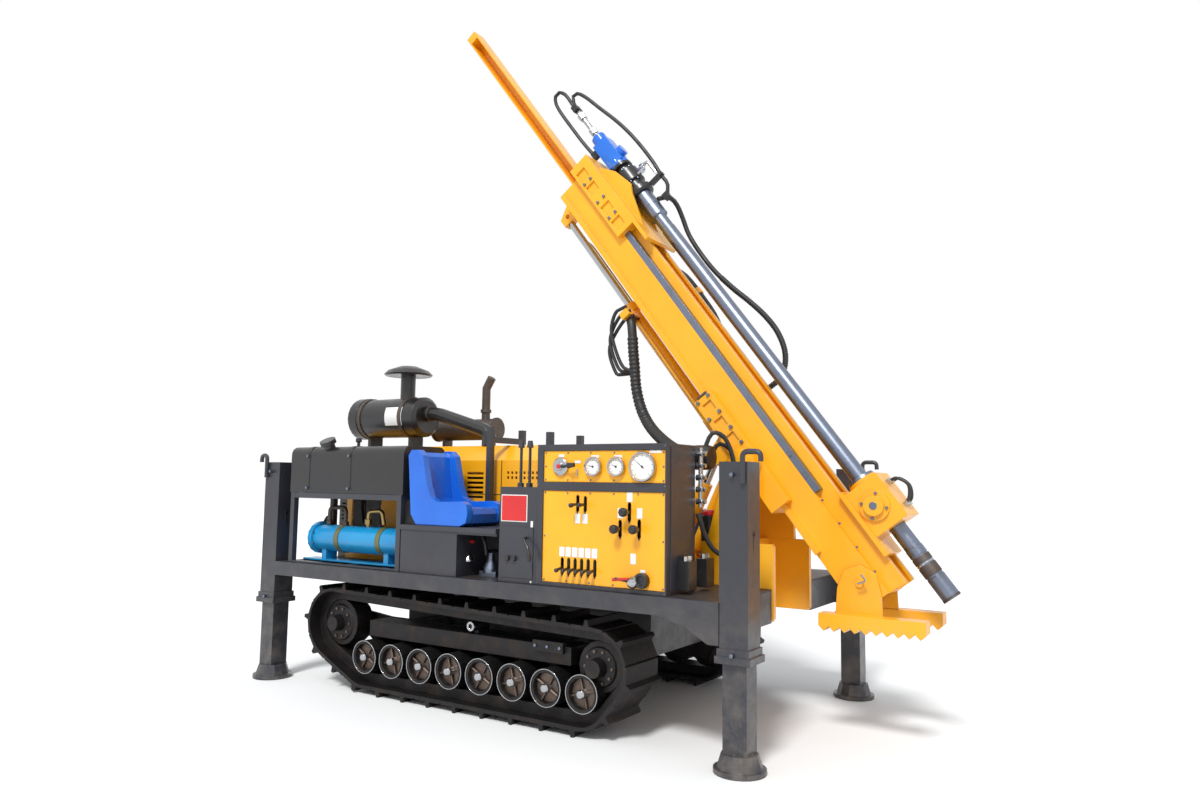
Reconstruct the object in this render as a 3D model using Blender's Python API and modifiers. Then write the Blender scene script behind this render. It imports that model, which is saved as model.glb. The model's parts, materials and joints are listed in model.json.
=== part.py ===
"""Crawler-mounted core drilling rig. Metres, +Z up, +X towards the drill, -Y the operator's side."""

import math

import bmesh
import bpy
from mathutils import Matrix, Vector

# Clearances
SEAT_GAP = 0.0003
SLIDE_GAP = 0.001
RUN_GAP = 0.006
BOOLEAN_OVERLAP = 0.002

# Legs
LEG_X = 1.634
LEG_Y = 0.854
SLEEVE_SIZE = 0.140
SLEEVE_WALL = 0.006
SLEEVE_LOW = 0.500
SLEEVE_TOP = 1.382
POST_SIZE = 0.116
POST_TOP = 0.95
FOOT_R = 0.120
FOOT_PLATE = 0.022
HOOK_R = 0.008

# Deck
DECK_TOP = 0.746
DECK_PLATE = 0.008
BEAM_HIGH = 0.086
BEAM_WIDE = 0.060
DECK_HALF = 0.930
BAY_HALF = 0.250
BAY_X = 1.300

# Tracks
TRACK_MID_Y = 0.690
SHOE_WIDTH = 0.320
CHAIN_WIDTH = 0.150
LUG_HIGH = 0.032
SHOE_THICK = 0.018
LINK_HIGH = 0.060
ROLLER_R = 0.100
FRAME_GAP = 0.025
FRAME_PLATE = 0.020
SPROCKET_X = -1.100
SPROCKET_Z = 0.385
SPROCKET_R = 0.140
IDLER_X = 0.830
IDLER_Z = 0.345
IDLER_R = 0.130
FIRST_ROLLER_X = -0.822
LAST_ROLLER_X = 0.756
ROLLER_COUNT = 8
SHOE_COUNT = 26

# Mast, in its own frame: x forward of the tilt pivot, z up along the mast
PIVOT_X = 1.388
PIVOT_Z = 1.397
MAST_LEAN = math.radians(37.3)
MAST_HALF = 0.140
MAST_DEEP = 0.186
MAST_WALL = 0.010
MAST_LOW = -0.950
MAST_TOP = 2.150
RAIL_DEEP = 0.038
RAIL_WIDE = 0.045
RAIL_LOW = -0.340
RAIL_TOP = 2.100
CHANNEL_HALF = 0.095
CHANNEL_FRONT = 0.278
CHANNEL_WALL = 0.014
FLANGE_OUT = 0.025
FLANGE_DEEP = 0.030
EXTENSION_TOP = 3.780
EXTENSION_HALF = 0.040
EXTENSION_X = 0.120
CARRIER_LOW = -0.300
CARRIER_TOP = 0.455
CARRIER_HALF = 0.200
CARRIER_BACK = -0.050
CARRIER_LIP = 0.066
TRUNNION_R = 0.036
FOOT_PIN_X = 0.104
FOOT_PIN_Z = -0.835
FOOT_PIN_R = 0.022
FOOT_EAR = 0.012
FOOT_DROP = 0.155
BEARER_WIDE = 0.090
BEARER_HIGH = 0.060
BEARER_TOOTH = 0.026
BEARER_BACK = 0.190
BEARER_FRONT = 0.330
BEARER_TEETH = 10

# Slide cylinder
SLIDE_X = -0.095
SLIDE_BARREL_R = 0.0375
SLIDE_ROD_R = 0.0225
SLIDE_BARREL_LOW = 0.330
SLIDE_BARREL_TOP = 1.290
SLIDE_LUG_Z = 2.075

# Drill head and string
ROD_X = 0.392
ROD_R = 0.0445
BIT_R = 0.047
BIT_Z = -1.130
HEAD_R = 0.084
HEAD_LOW = 1.790
HEAD_TOP = 2.056
MOTOR_TOP = 2.350
CARRIAGE_LOW = 1.450
CARRIAGE_TOP = 2.200
CLAMP_LOW = -0.700
CLAMP_TOP = -0.440
CLAMP_HALF = 0.115

# Lift cylinders
LIFT_X = 0.900
LIFT_Z = 0.830
LIFT_Y = 0.125
LIFT_LUG_X = -0.150
LIFT_LUG_Z = 0.150
LIFT_BARREL_R = 0.040
LIFT_ROD_R = 0.022
LIFT_BARREL_LONG = 0.500
LIFT_EYE = 0.034

# Mast support columns
COLUMN_IN = 0.250
COLUMN_OUT = 0.400
COLUMN_FRONT = 1.741
COLUMN_LOW = 0.540
COLUMN_SHOULDER = 1.000
BEARING_R = 0.075

# Equipment on the deck
PANEL_X = 0.510
PANEL_LONG = 0.770
PANEL_FACE = 0.900
PANEL_DEEP = 0.300
PANEL_TOP = 1.472
CONSOLE_X = 0.263
CONSOLE_TOP = 1.249
SEAT_BOX_X = -0.472
SEAT_BOX_LONG = 0.717
SEAT_BOX_TOP = 1.021
RACK_X = -1.470
RACK_LONG = 0.990
RACK_TOP = 1.190
TANK_HIGH = 0.290
RADIATOR_TOP = 1.420

PAINTS = {
    "amber": ((0.90, 0.42, 0.01), 0.40, 0.0),
    "charcoal": ((0.035, 0.035, 0.045), 0.50, 0.0),
    "black": ((0.012, 0.012, 0.014), 0.55, 0.0),
    "steel": ((0.16, 0.19, 0.25), 0.35, 1.0),
    "chrome": ((0.75, 0.76, 0.78), 0.12, 1.0),
    "blue": ((0.01, 0.16, 0.62), 0.30, 0.0),
    "cyan": ((0.01, 0.30, 0.55), 0.35, 0.0),
    "worn": ((0.10, 0.10, 0.11), 0.60, 0.4),
}


def clear_scene():
    for thing in list(bpy.data.objects):
        bpy.data.objects.remove(thing, do_unlink=True)


def new_collection(name):
    made = bpy.data.collections.new(name)
    bpy.context.scene.collection.children.link(made)
    return made


def painted(name, paint):
    """A Principled material of its own for the object of this name."""
    colour, rough, metal = PAINTS[paint]
    made = bpy.data.materials.new(name + "_" + paint)
    made.use_nodes = True
    shader = made.node_tree.nodes["Principled BSDF"]
    shader.inputs["Base Color"].default_value = (*colour, 1.0)
    shader.inputs["Roughness"].default_value = rough
    shader.inputs["Metallic"].default_value = metal
    return made


def empty(name, place=(0, 0, 0), turn=(0, 0, 0), parent=None):
    made = bpy.data.objects.new(name, None)
    made.location = place
    made.rotation_euler = turn
    made.parent = parent
    RIG.objects.link(made)
    return made


def from_bmesh(shape):
    """A working object from a bmesh, not yet in its place in the tree."""
    mesh = bpy.data.meshes.new("work")
    shape.to_mesh(mesh)
    shape.free()
    made = bpy.data.objects.new("work", mesh)
    RIG.objects.link(made)
    return made


def from_curve(curve, matrix=None):
    """The closed mesh of a curve object, with its caps welded."""
    source = bpy.data.objects.new("curve", curve)
    RIG.objects.link(source)
    if matrix:
        source.matrix_world = matrix
    bpy.context.view_layer.update()
    graph = bpy.context.evaluated_depsgraph_get()
    mesh = bpy.data.meshes.new_from_object(source.evaluated_get(graph))
    mesh.transform(source.matrix_world)
    bpy.data.objects.remove(source)
    bpy.data.curves.remove(curve)
    shape = bmesh.new()
    shape.from_mesh(mesh)
    bpy.data.meshes.remove(mesh)
    bmesh.ops.remove_doubles(shape, verts=shape.verts, dist=1e-5)
    bmesh.ops.recalc_face_normals(shape, faces=shape.faces)
    return from_bmesh(shape)


def box(low, high):
    low = Vector(low)
    high = Vector(high)
    shape = bmesh.new()
    place = Matrix.Translation((low + high) / 2) @ Matrix.Diagonal((*(high - low), 1))
    bmesh.ops.create_cube(shape, size=1, matrix=place)
    return from_bmesh(shape)


def bar(start, end, radius, sides=16, end_radius=None):
    """A round bar or cone between two points."""
    start = Vector(start)
    end = Vector(end)
    axis = end - start
    turn = Vector((0, 0, 1)).rotation_difference(axis).to_matrix().to_4x4()
    place = Matrix.Translation((start + end) / 2) @ turn
    shape = bmesh.new()
    bmesh.ops.create_cone(
        shape,
        cap_ends=True,
        segments=sides,
        radius1=radius,
        radius2=radius if end_radius is None else end_radius,
        depth=axis.length,
        matrix=place,
    )
    return from_bmesh(shape)


# A side outline lies in XZ and is thick along Y, a plan in XY along Z, an end outline in YZ along X.
SIDE = Matrix(((1, 0, 0, 0), (0, 0, -1, 0), (0, 1, 0, 0), (0, 0, 0, 1)))
PLAN = Matrix.Identity(4)
END = Matrix(((0, 0, 1, 0), (1, 0, 0, 0), (0, 1, 0, 0), (0, 0, 0, 1)))
THICK_ALONG = {
    "side": (SIDE, Vector((0, 1, 0))),
    "plan": (PLAN, Vector((0, 0, 1))),
    "end": (END, Vector((1, 0, 0))),
}


def plate(outline, low, high, view="side", holes=()):
    """A flat outline, with holes, extruded from low to high across its view."""
    curve = bpy.data.curves.new("outline", "CURVE")
    curve.dimensions = "2D"
    curve.fill_mode = "BOTH"
    curve.extrude = (high - low) / 2
    for loop in (outline, *holes):
        spline = curve.splines.new("POLY")
        spline.points.add(len(loop) - 1)
        for point, (u, v) in zip(spline.points, loop):
            point.co = (u, v, 0, 1)
        spline.use_cyclic_u = True
    turn, across = THICK_ALONG[view]
    return from_curve(curve, Matrix.Translation(across * (low + high) / 2) @ turn)


def ring_points(centre, radius, start=0.0, end=360.0, count=16):
    """Points on an arc of a circle, angles in degrees. A full circle leaves out its last point."""
    full = abs(end - start) >= 360
    steps = count if full else count - 1
    angles = [math.radians(start + (end - start) * i / steps) for i in range(count)]
    return [(centre[0] + radius * math.cos(a), centre[1] + radius * math.sin(a)) for a in angles]


def turned(profile, base, axis=(0, 0, 1), sides=16):
    """A profile of (radius, height) from top to bottom, turned round an axis through base."""
    shape = bmesh.new()
    points = [shape.verts.new((radius, 0, height)) for radius, height in profile]
    for first, second in zip(points, points[1:]):
        shape.edges.new((first, second))
    made = from_bmesh(shape)
    screw = made.modifiers.new("turn", "SCREW")
    screw.axis = "Z"
    screw.steps = sides
    screw.render_steps = sides
    screw.use_merge_vertices = True
    screw.merge_threshold = 0.0001
    solid = settled(made)
    turn = Vector((0, 0, 1)).rotation_difference(Vector(axis)).to_matrix().to_4x4()
    solid.data.transform(Matrix.Translation(base) @ turn)
    return solid


def pipe(points, radius, resolution=2, rounding=0.0):
    """A round tube through the points, its corners rounded by short arcs."""
    path = [Vector(p) for p in points]
    if rounding:
        smooth = [path[0]]
        for before, corner, after in zip(path, path[1:], path[2:]):
            start = corner + (before - corner).normalized() * rounding
            end = corner + (after - corner).normalized() * rounding
            for share in (0.0, 0.25, 0.5, 0.75, 1.0):
                first = start.lerp(corner, share)
                smooth.append(first.lerp(corner.lerp(end, share), share))
        path = smooth + [path[-1]]
    curve = bpy.data.curves.new("route", "CURVE")
    curve.dimensions = "3D"
    curve.bevel_depth = radius
    curve.bevel_resolution = resolution
    curve.use_fill_caps = True
    spline = curve.splines.new("POLY")
    spline.points.add(len(path) - 1)
    for point, place in zip(spline.points, path):
        point.co = (*place, 1)
    return from_curve(curve)


def settled(thing):
    """The object with its modifiers applied."""
    bpy.context.view_layer.update()
    graph = bpy.context.evaluated_depsgraph_get()
    mesh = bpy.data.meshes.new_from_object(thing.evaluated_get(graph))
    thing.modifiers.clear()
    old = thing.data
    thing.data = mesh
    bpy.data.meshes.remove(old)
    return thing


def combined(first, others, operation, solver="EXACT"):
    for other in others:
        step = first.modifiers.new(operation.lower(), "BOOLEAN")
        step.operation = operation
        step.object = other
        step.solver = solver
    made = settled(first)
    for other in others:
        bpy.data.objects.remove(other)
    return made


def fused(*shapes):
    return combined(shapes[0], shapes[1:], "UNION")


def carved(shape, *cutters):
    return combined(shape, cutters, "DIFFERENCE")


def piece(name, shape, paint, parent):
    """Names the finished shape, paints it and hangs it in the tree."""
    shape.name = name
    shape.data.name = name
    shape.data.materials.clear()
    shape.data.materials.append(painted(name, paint))
    shape.data.shade_smooth()
    shape.data.set_sharp_from_angle(angle=math.radians(30))
    shape.parent = parent
    RIG.objects.unlink(shape)
    PARTS.objects.link(shape)
    return shape


def pair(side, near, far):
    """The low and high Y of a slab on the given side, from its distances to the middle."""
    return (near, far) if side > 0 else (-far, -near)


# Deck and chassis

BEAM_END_X = LEG_X - SLEEVE_SIZE / 2 - SEAT_GAP
FRAME_INNER_Y = TRACK_MID_Y - CHAIN_WIDTH / 2 - FRAME_GAP


def make_deck(parent):
    low = DECK_TOP - BEAM_HIGH
    shapes = []
    for side in (-1, 1):
        y_low, y_high = pair(side, DECK_HALF - BEAM_WIDE, DECK_HALF)
        shapes.append(box((-BEAM_END_X, y_low, low), (BEAM_END_X, y_high, DECK_TOP)))
        y_low, y_high = pair(side, BAY_HALF + 0.15 + SEAT_GAP, DECK_HALF - BOOLEAN_OVERLAP)
        shapes.append(box((BEAM_END_X - 0.080, y_low, 0.575), (BEAM_END_X, y_high, DECK_TOP - 0.001)))
        y_low, y_high = pair(side, BAY_HALF, DECK_HALF - BOOLEAN_OVERLAP)
        shapes.append(box((BAY_X - 0.08, y_low, low + 0.01), (BEAM_END_X - 0.09, y_high, DECK_TOP - 0.002)))
    half = DECK_HALF - BOOLEAN_OVERLAP
    plate_low = DECK_TOP - DECK_PLATE
    shapes.append(box((-BEAM_END_X + 0.001, -half, plate_low), (BAY_X, half, DECK_TOP - 0.0005)))
    for x in (-1.520, -0.900, -0.300, 0.300, 0.820):
        shapes.append(box((x, -half, low + 0.015), (x + 0.06, half, DECK_TOP - 0.003)))
    return piece("deck", fused(*shapes), "charcoal", parent)


def make_chassis(parent):
    """Box frame between the tracks: two cross beams reach into the track frames, posts carry the deck."""
    top = DECK_TOP - BEAM_HIGH + 0.015 - SEAT_GAP
    half = FRAME_INNER_Y - FRAME_PLATE - SEAT_GAP
    shapes = [box((-0.950, -0.330, 0.330), (0.880, 0.330, 0.560))]
    for x in (-0.700, 0.400):
        shapes.append(box((x, -half, 0.345), (x + 0.12, half, 0.415)))
    for x in (-0.900, -0.300, 0.300, 0.820):
        shapes.append(box((x, -0.300, 0.550), (x + 0.06, 0.300, top)))
    return piece("chassis", fused(*shapes), "charcoal", parent)


# Tracks

CHAIN_TOP = LUG_HIGH + SHOE_THICK + LINK_HIGH
ARC_STEP = math.radians(15)
# A belt drawn as chords of this step clears the round wheel inside it.
CHORD_GROWTH = 1 / math.cos(ARC_STEP / 2)
ROLLER_Z = CHAIN_TOP + (ROLLER_R + SEAT_GAP) * CHORD_GROWTH


def belt_path(circles):
    """The taut loop round circles (x, z, radius), as (point, outward normal, distance) along it."""
    joined = []
    count = len(circles)
    for index in range(count):
        x1, z1, r1 = circles[index]
        x2, z2, r2 = circles[(index + 1) % count]
        span = math.hypot(x2 - x1, z2 - z1)
        heading = math.atan2(z2 - z1, x2 - x1)
        joined.append(heading - math.pi / 2 + math.asin((r1 - r2) / span))
    path = []
    for index in range(count):
        x, z, radius = circles[index]
        start = joined[index - 1]
        sweep = (joined[index] - start) % (2 * math.pi)
        if sweep > 1.9 * math.pi:
            sweep = 0.0
        steps = max(1, math.ceil(sweep / ARC_STEP))
        for step in range(steps + 1):
            angle = start + sweep * step / steps
            path.append((x + radius * math.cos(angle), z + radius * math.sin(angle), angle))
    return path


def walk(path, distance):
    """The point and outward angle this far along a closed path."""
    count = len(path)
    for index in range(count):
        x1, z1, a1 = path[index]
        x2, z2, a2 = path[(index + 1) % count]
        span = math.hypot(x2 - x1, z2 - z1)
        if distance <= span and span > 0:
            share = distance / span
            turn = (a2 - a1 + math.pi) % (2 * math.pi) - math.pi
            return x1 + (x2 - x1) * share, z1 + (z2 - z1) * share, a1 + turn * share
        distance -= span
    return path[0]


def path_length(path):
    return sum(math.dist(a[:2], b[:2]) for a, b in zip(path, path[1:] + path[:1]))


def make_track_loop(side, parent):
    """Shoes with lugs across the full width, on a narrower chain of links."""
    wheels = ((SPROCKET_X, SPROCKET_Z, SPROCKET_R), (FIRST_ROLLER_X, ROLLER_Z, ROLLER_R),
              (LAST_ROLLER_X, ROLLER_Z, ROLLER_R), (IDLER_X, IDLER_Z, IDLER_R))
    circles = [(x, z, (radius + SEAT_GAP) * CHORD_GROWTH) for x, z, radius in wheels]
    inner = belt_path(circles)
    shoe_path = belt_path([(x, z, r + LINK_HIGH) for x, z, r in circles])
    length = path_length(shoe_path)
    pitch = length / SHOE_COUNT
    outline = []
    # Each shoe: share of the pitch along it, height over the chain
    shoe = ((0.02, SHOE_THICK * 0.4), (0.04, SHOE_THICK), (0.40, SHOE_THICK), (0.45, SHOE_THICK + LUG_HIGH),
            (0.53, SHOE_THICK + LUG_HIGH), (0.58, SHOE_THICK), (0.96, SHOE_THICK), (0.98, SHOE_THICK * 0.4))
    for number in range(SHOE_COUNT):
        for along, height in shoe:
            x, z, angle = walk(shoe_path, (number + along) * pitch)
            outline.append((x + height * math.cos(angle), z + height * math.sin(angle)))
    under = [(x - 0.004 * math.cos(a), z - 0.004 * math.sin(a)) for x, z, a in shoe_path]
    links_out = [(x + 0.004 * math.cos(a), z + 0.004 * math.sin(a)) for x, z, a in shoe_path]
    links_in = [(x, z) for x, z, a in inner]
    middle = side * TRACK_MID_Y
    shoes = plate(outline, middle - SHOE_WIDTH / 2, middle + SHOE_WIDTH / 2, holes=(under,))
    links = plate(links_out, middle - CHAIN_WIDTH / 2, middle + CHAIN_WIDTH / 2, holes=(links_in,))
    name = "track_loop_" + ("left" if side > 0 else "right")
    # Two rings of many near-parallel faces: the exact solver leaves gaps in their union.
    return piece(name, combined(shoes, (links,), "UNION", "MANIFOLD"), "black", parent)


def make_track_frame(side, parent):
    middle = side * TRACK_MID_Y
    inner = side * FRAME_INNER_Y
    y_low, y_high = sorted((inner - side * FRAME_PLATE, inner))
    outline = [
        (SPROCKET_X, SPROCKET_Z - 0.06), (-0.85, 0.170), (0.780, 0.170), (IDLER_X + 0.04, IDLER_Z - 0.03),
        (IDLER_X + 0.04, IDLER_Z + 0.03), (0.60, 0.420), (-0.85, 0.420), (SPROCKET_X, SPROCKET_Z + 0.06),
    ]
    shapes = [plate(outline, y_low, y_high)]
    y_low, y_high = sorted((inner - side * 0.010, middle + side * 0.060))
    shapes.append(box((-0.860, y_low, 0.325), (0.640, y_high, 0.418)))
    pitch = (LAST_ROLLER_X - FIRST_ROLLER_X) / (ROLLER_COUNT - 1)
    outer = middle + side * 0.140
    for index in range(ROLLER_COUNT):
        x = FIRST_ROLLER_X + pitch * index
        shapes.append(bar((x, inner - side * 0.010, ROLLER_Z), (x, outer, ROLLER_Z), 0.020, 8))
        shapes.append(bar((x, middle - side * 0.070, ROLLER_Z), (x, outer - side * 0.008, ROLLER_Z), ROLLER_R, 16))
    for x, z, radius in ((SPROCKET_X, SPROCKET_Z, SPROCKET_R), (IDLER_X, IDLER_Z, IDLER_R)):
        shapes.append(bar((x, inner - side * 0.010, z), (x, outer, z), 0.050, 10))
        shapes.append(bar((x, middle - side * 0.060, z), (x, middle + side * 0.060, z), radius, 24))
    name = "track_frame_" + ("left" if side > 0 else "right")
    return piece(name, fused(*shapes), "black", parent)


# Legs

LEGS = {
    # name: (along, across)
    "front_right": (1, -1),
    "front_left": (1, 1),
    "rear_right": (-1, -1),
    "rear_left": (-1, 1),
}


def square(half):
    return [(-half, -half), (half, -half), (half, half), (-half, half)]


def shifted(points, x, y):
    return [(u + x, v + y) for u, v in points]


def make_sleeve(name, parent):
    along, across = LEGS[name]
    x = along * LEG_X
    y = across * LEG_Y
    half = SLEEVE_SIZE / 2
    inside = half - SLEEVE_WALL
    guide = POST_SIZE / 2 + SLIDE_GAP
    tube = plate(shifted(square(half), x, y), SLEEVE_LOW, SLEEVE_TOP, "plan",
                 holes=(shifted(square(inside), x, y),))
    collar = plate(shifted(square(half + 0.008), x, y), SLEEVE_LOW - 0.02, SLEEVE_LOW + 0.04, "plan",
                   holes=(shifted(square(guide), x, y),))
    cap = plate(shifted(square(half), x, y), SLEEVE_TOP - 0.010, SLEEVE_TOP, "plan")
    hook = pipe(
        [(x + along * 0.045, y, SLEEVE_TOP - 0.02), (x + along * 0.045, y, SLEEVE_TOP + 0.06),
         (x - along * 0.030, y, SLEEVE_TOP + 0.06), (x - along * 0.030, y, SLEEVE_TOP - 0.02)],
        HOOK_R, rounding=0.035)
    return piece("leg_sleeve_" + name, fused(tube, collar, cap, hook), "charcoal", parent)


def make_post(name, parent):
    along, across = LEGS[name]
    x = along * LEG_X
    y = across * LEG_Y
    half = POST_SIZE / 2
    post = box((x - half, y - half, FOOT_PLATE), (x + half, y + half, POST_TOP))
    skirt = bar((x, y, FOOT_PLATE - 0.002), (x, y, 0.085), 0.105, 12, 0.085)
    foot = bar((x, y, 0), (x, y, FOOT_PLATE), FOOT_R, 24)
    return piece("leg_post_" + name, fused(post, skirt, foot), "charcoal", parent)


# Mast

def make_support(parent):
    floor = DECK_TOP + SEAT_GAP
    back = BEAM_END_X + SEAT_GAP
    outline = [(1.05, floor), (back, floor), (back, COLUMN_LOW), (COLUMN_FRONT, COLUMN_LOW),
               (COLUMN_FRONT, COLUMN_SHOULDER - 0.03), (COLUMN_FRONT - 0.09, COLUMN_SHOULDER)]
    outline += ring_points((PIVOT_X, PIVOT_Z), BEARING_R, 20, 160, 9)
    shapes = []
    for side in (-1, 1):
        y_low, y_high = pair(side, COLUMN_IN, COLUMN_OUT)
        hole = ring_points((PIVOT_X, PIVOT_Z), TRUNNION_R + SLIDE_GAP, count=24)
        shapes.append(plate(outline, y_low, y_high, holes=(hole,)))
    shapes.append(box((1.10, -COLUMN_OUT + 0.02, floor), (1.16, COLUMN_OUT - 0.02, floor + 0.14)))
    for side in (-1, 1):
        for y in (LIFT_Y - 0.035, LIFT_Y + 0.035):
            y_low, y_high = pair(side, y - 0.006, y + 0.006)
            ear = [(0.84, floor + 0.02), (0.84, LIFT_Z), *ring_points((LIFT_X, LIFT_Z), 0.05, 150, 30, 7),
                   (1.12, floor + 0.08), (1.12, floor + 0.02)]
            shapes.append(plate(ear, y_low, y_high))
        y_low, y_high = pair(side, LIFT_Y - 0.060, LIFT_Y + 0.060)
        shapes.append(box((0.82, y_low, floor), (1.12, y_high, floor + 0.03)))
        y_low, y_high = pair(side, LIFT_Y - 0.045, LIFT_Y + 0.045)
        shapes.append(bar((LIFT_X, y_low, LIFT_Z), (LIFT_X, y_high, LIFT_Z), 0.014, 12))
    return piece("mast_support", fused(*shapes), "amber", parent)


def make_carrier(parent):
    """Guide housings over the mast's back flanges, joined behind the mast, with trunnions and lugs."""
    flange_side = MAST_HALF + FLANGE_OUT
    shapes = []
    plate_front = -SLIDE_GAP
    shapes.append(box((CARRIER_BACK, -CARRIER_HALF, CARRIER_LOW), (plate_front, CARRIER_HALF, CARRIER_TOP)))
    for side in (-1, 1):
        y_low, y_high = pair(side, flange_side + SLIDE_GAP, CARRIER_HALF)
        shapes.append(box((CARRIER_BACK + 0.002, y_low, CARRIER_LOW), (CARRIER_LIP, y_high, CARRIER_TOP)))
        y_low, y_high = pair(side, MAST_HALF + SLIDE_GAP, CARRIER_HALF - BOOLEAN_OVERLAP)
        shapes.append(box((FLANGE_DEEP + SLIDE_GAP, y_low, CARRIER_LOW + 0.001),
                          (CARRIER_LIP - 0.001, y_high, CARRIER_TOP - 0.001)))
        shapes.append(bar((0, side * (CARRIER_HALF - 0.02), 0), (0, side * (COLUMN_OUT - 0.01), 0), TRUNNION_R, 24))
        shapes.append(bar((0, side * (CARRIER_HALF - 0.02), 0), (0, side * (COLUMN_IN - RUN_GAP), 0), 0.060, 24))
        for y in (LIFT_Y - 0.029, LIFT_Y + 0.029):
            y_low, y_high = pair(side, y - 0.006, y + 0.006)
            outline = [(CARRIER_BACK + 0.01, LIFT_LUG_Z - 0.08), (CARRIER_BACK + 0.01, LIFT_LUG_Z + 0.08),
                       *ring_points((LIFT_LUG_X, LIFT_LUG_Z), 0.045, 120, 240, 7)]
            shapes.append(plate(outline, y_low, y_high))
    for y in (-0.045, 0.045):
        shapes.append(box((SLIDE_X - 0.03, y - 0.006, 0.32), (CARRIER_BACK + 0.01, y + 0.006, 0.40)))
    shapes.append(bar((SLIDE_X, -0.05, 0.36), (SLIDE_X, 0.05, 0.36), 0.012, 12))
    return piece("mast_carrier", fused(*shapes), "amber", parent)


def make_slide_cylinder(carrier, mast):
    barrel = bar((SLIDE_X, 0, SLIDE_BARREL_LOW), (SLIDE_X, 0, SLIDE_BARREL_TOP), SLIDE_BARREL_R, 20)
    gland = bar((SLIDE_X, 0, SLIDE_BARREL_TOP - 0.05), (SLIDE_X, 0, SLIDE_BARREL_TOP + 0.01), SLIDE_BARREL_R + 0.006, 20)
    bore = bar((SLIDE_X, 0, SLIDE_BARREL_LOW + 0.08), (SLIDE_X, 0, SLIDE_BARREL_TOP + 0.1), SLIDE_ROD_R + SLIDE_GAP, 20)
    eye = bar((SLIDE_X, -0.1, 0.36), (SLIDE_X, 0.1, 0.36), 0.012 + SLIDE_GAP, 16)
    barrel = carved(fused(barrel, gland), bore, eye)
    piece("slide_cylinder_barrel", barrel, "amber", carrier)
    low = SLIDE_BARREL_TOP - 0.10
    rod = bar((SLIDE_X, 0, low), (SLIDE_X, 0, SLIDE_LUG_Z - 0.035 - SEAT_GAP), SLIDE_ROD_R, 20)
    piece("slide_cylinder_rod", rod, "chrome", mast)


def make_mast(parent):
    body = box((0, -MAST_HALF, MAST_LOW), (MAST_DEEP, MAST_HALF, MAST_TOP))
    inside = box((MAST_WALL, -MAST_HALF + MAST_WALL, MAST_LOW - 0.1),
                 (MAST_DEEP - MAST_WALL, MAST_HALF - MAST_WALL, MAST_TOP + 0.1))
    outline = [(-CHANNEL_HALF, MAST_DEEP - 0.01), (CHANNEL_HALF, MAST_DEEP - 0.01), (CHANNEL_HALF, CHANNEL_FRONT),
               (CHANNEL_HALF - 0.035, CHANNEL_FRONT), (CHANNEL_HALF - 0.035, CHANNEL_FRONT - CHANNEL_WALL),
               (CHANNEL_HALF - CHANNEL_WALL, CHANNEL_FRONT - CHANNEL_WALL),
               (CHANNEL_HALF - CHANNEL_WALL, MAST_DEEP + 0.01), (-CHANNEL_HALF + CHANNEL_WALL, MAST_DEEP + 0.01),
               (-CHANNEL_HALF + CHANNEL_WALL, CHANNEL_FRONT - CHANNEL_WALL),
               (-CHANNEL_HALF + 0.035, CHANNEL_FRONT - CHANNEL_WALL), (-CHANNEL_HALF + 0.035, CHANNEL_FRONT),
               (-CHANNEL_HALF, CHANNEL_FRONT)]
    channel = plate([(v, u) for u, v in outline], MAST_LOW, MAST_TOP, "plan")
    shapes = [body, channel]
    for side in (-1, 1):
        y_low, y_high = pair(side, MAST_HALF - 0.01, MAST_HALF + FLANGE_OUT)
        shapes.append(box((0.0005, y_low, CARRIER_LOW - 0.30), (FLANGE_DEEP, y_high, MAST_TOP - 0.02)))
    shapes.append(box((SLIDE_X - 0.035, -0.030, SLIDE_LUG_Z - 0.035), (0.01, 0.030, SLIDE_LUG_Z + 0.05)))
    pin = bar((FOOT_PIN_X, -0.3, FOOT_PIN_Z), (FOOT_PIN_X, 0.3, FOOT_PIN_Z), FOOT_PIN_R + SLIDE_GAP, 20)
    piece("mast_beam", carved(fused(*shapes), inside, pin), "amber", parent)
    for side in (-1, 1):
        y_low, y_high = pair(side, MAST_HALF - RAIL_WIDE + 0.0008, MAST_HALF)
        rail = box((MAST_DEEP + SEAT_GAP, y_low, RAIL_LOW), (MAST_DEEP + SEAT_GAP + RAIL_DEEP, y_high, RAIL_TOP))
        piece("front_rail_" + ("left" if side > 0 else "right"), rail, "steel", parent)


def make_extension(parent):
    """A channel that carries on above the mast, open towards the operator."""
    low = MAST_TOP + SEAT_GAP
    x_low = EXTENSION_X - EXTENSION_HALF
    x_high = EXTENSION_X + EXTENSION_HALF
    outline = [(x_low, -0.05), (x_high, -0.05), (x_high, 0.05), (x_low, 0.05)]
    groove = [(x_low + 0.010, -0.06), (x_high - 0.010, -0.06), (x_high - 0.010, 0.040), (x_low + 0.010, 0.040)]
    beam = carved(plate(outline, low, EXTENSION_TOP, "plan"),
                  plate(groove, low + 0.05, EXTENSION_TOP - 0.06, "plan"))
    foot = box((x_low - 0.03, -0.09, low), (x_high + 0.03, 0.09, low + 0.03))
    piece("mast_extension", fused(beam, foot), "amber", parent)


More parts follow.
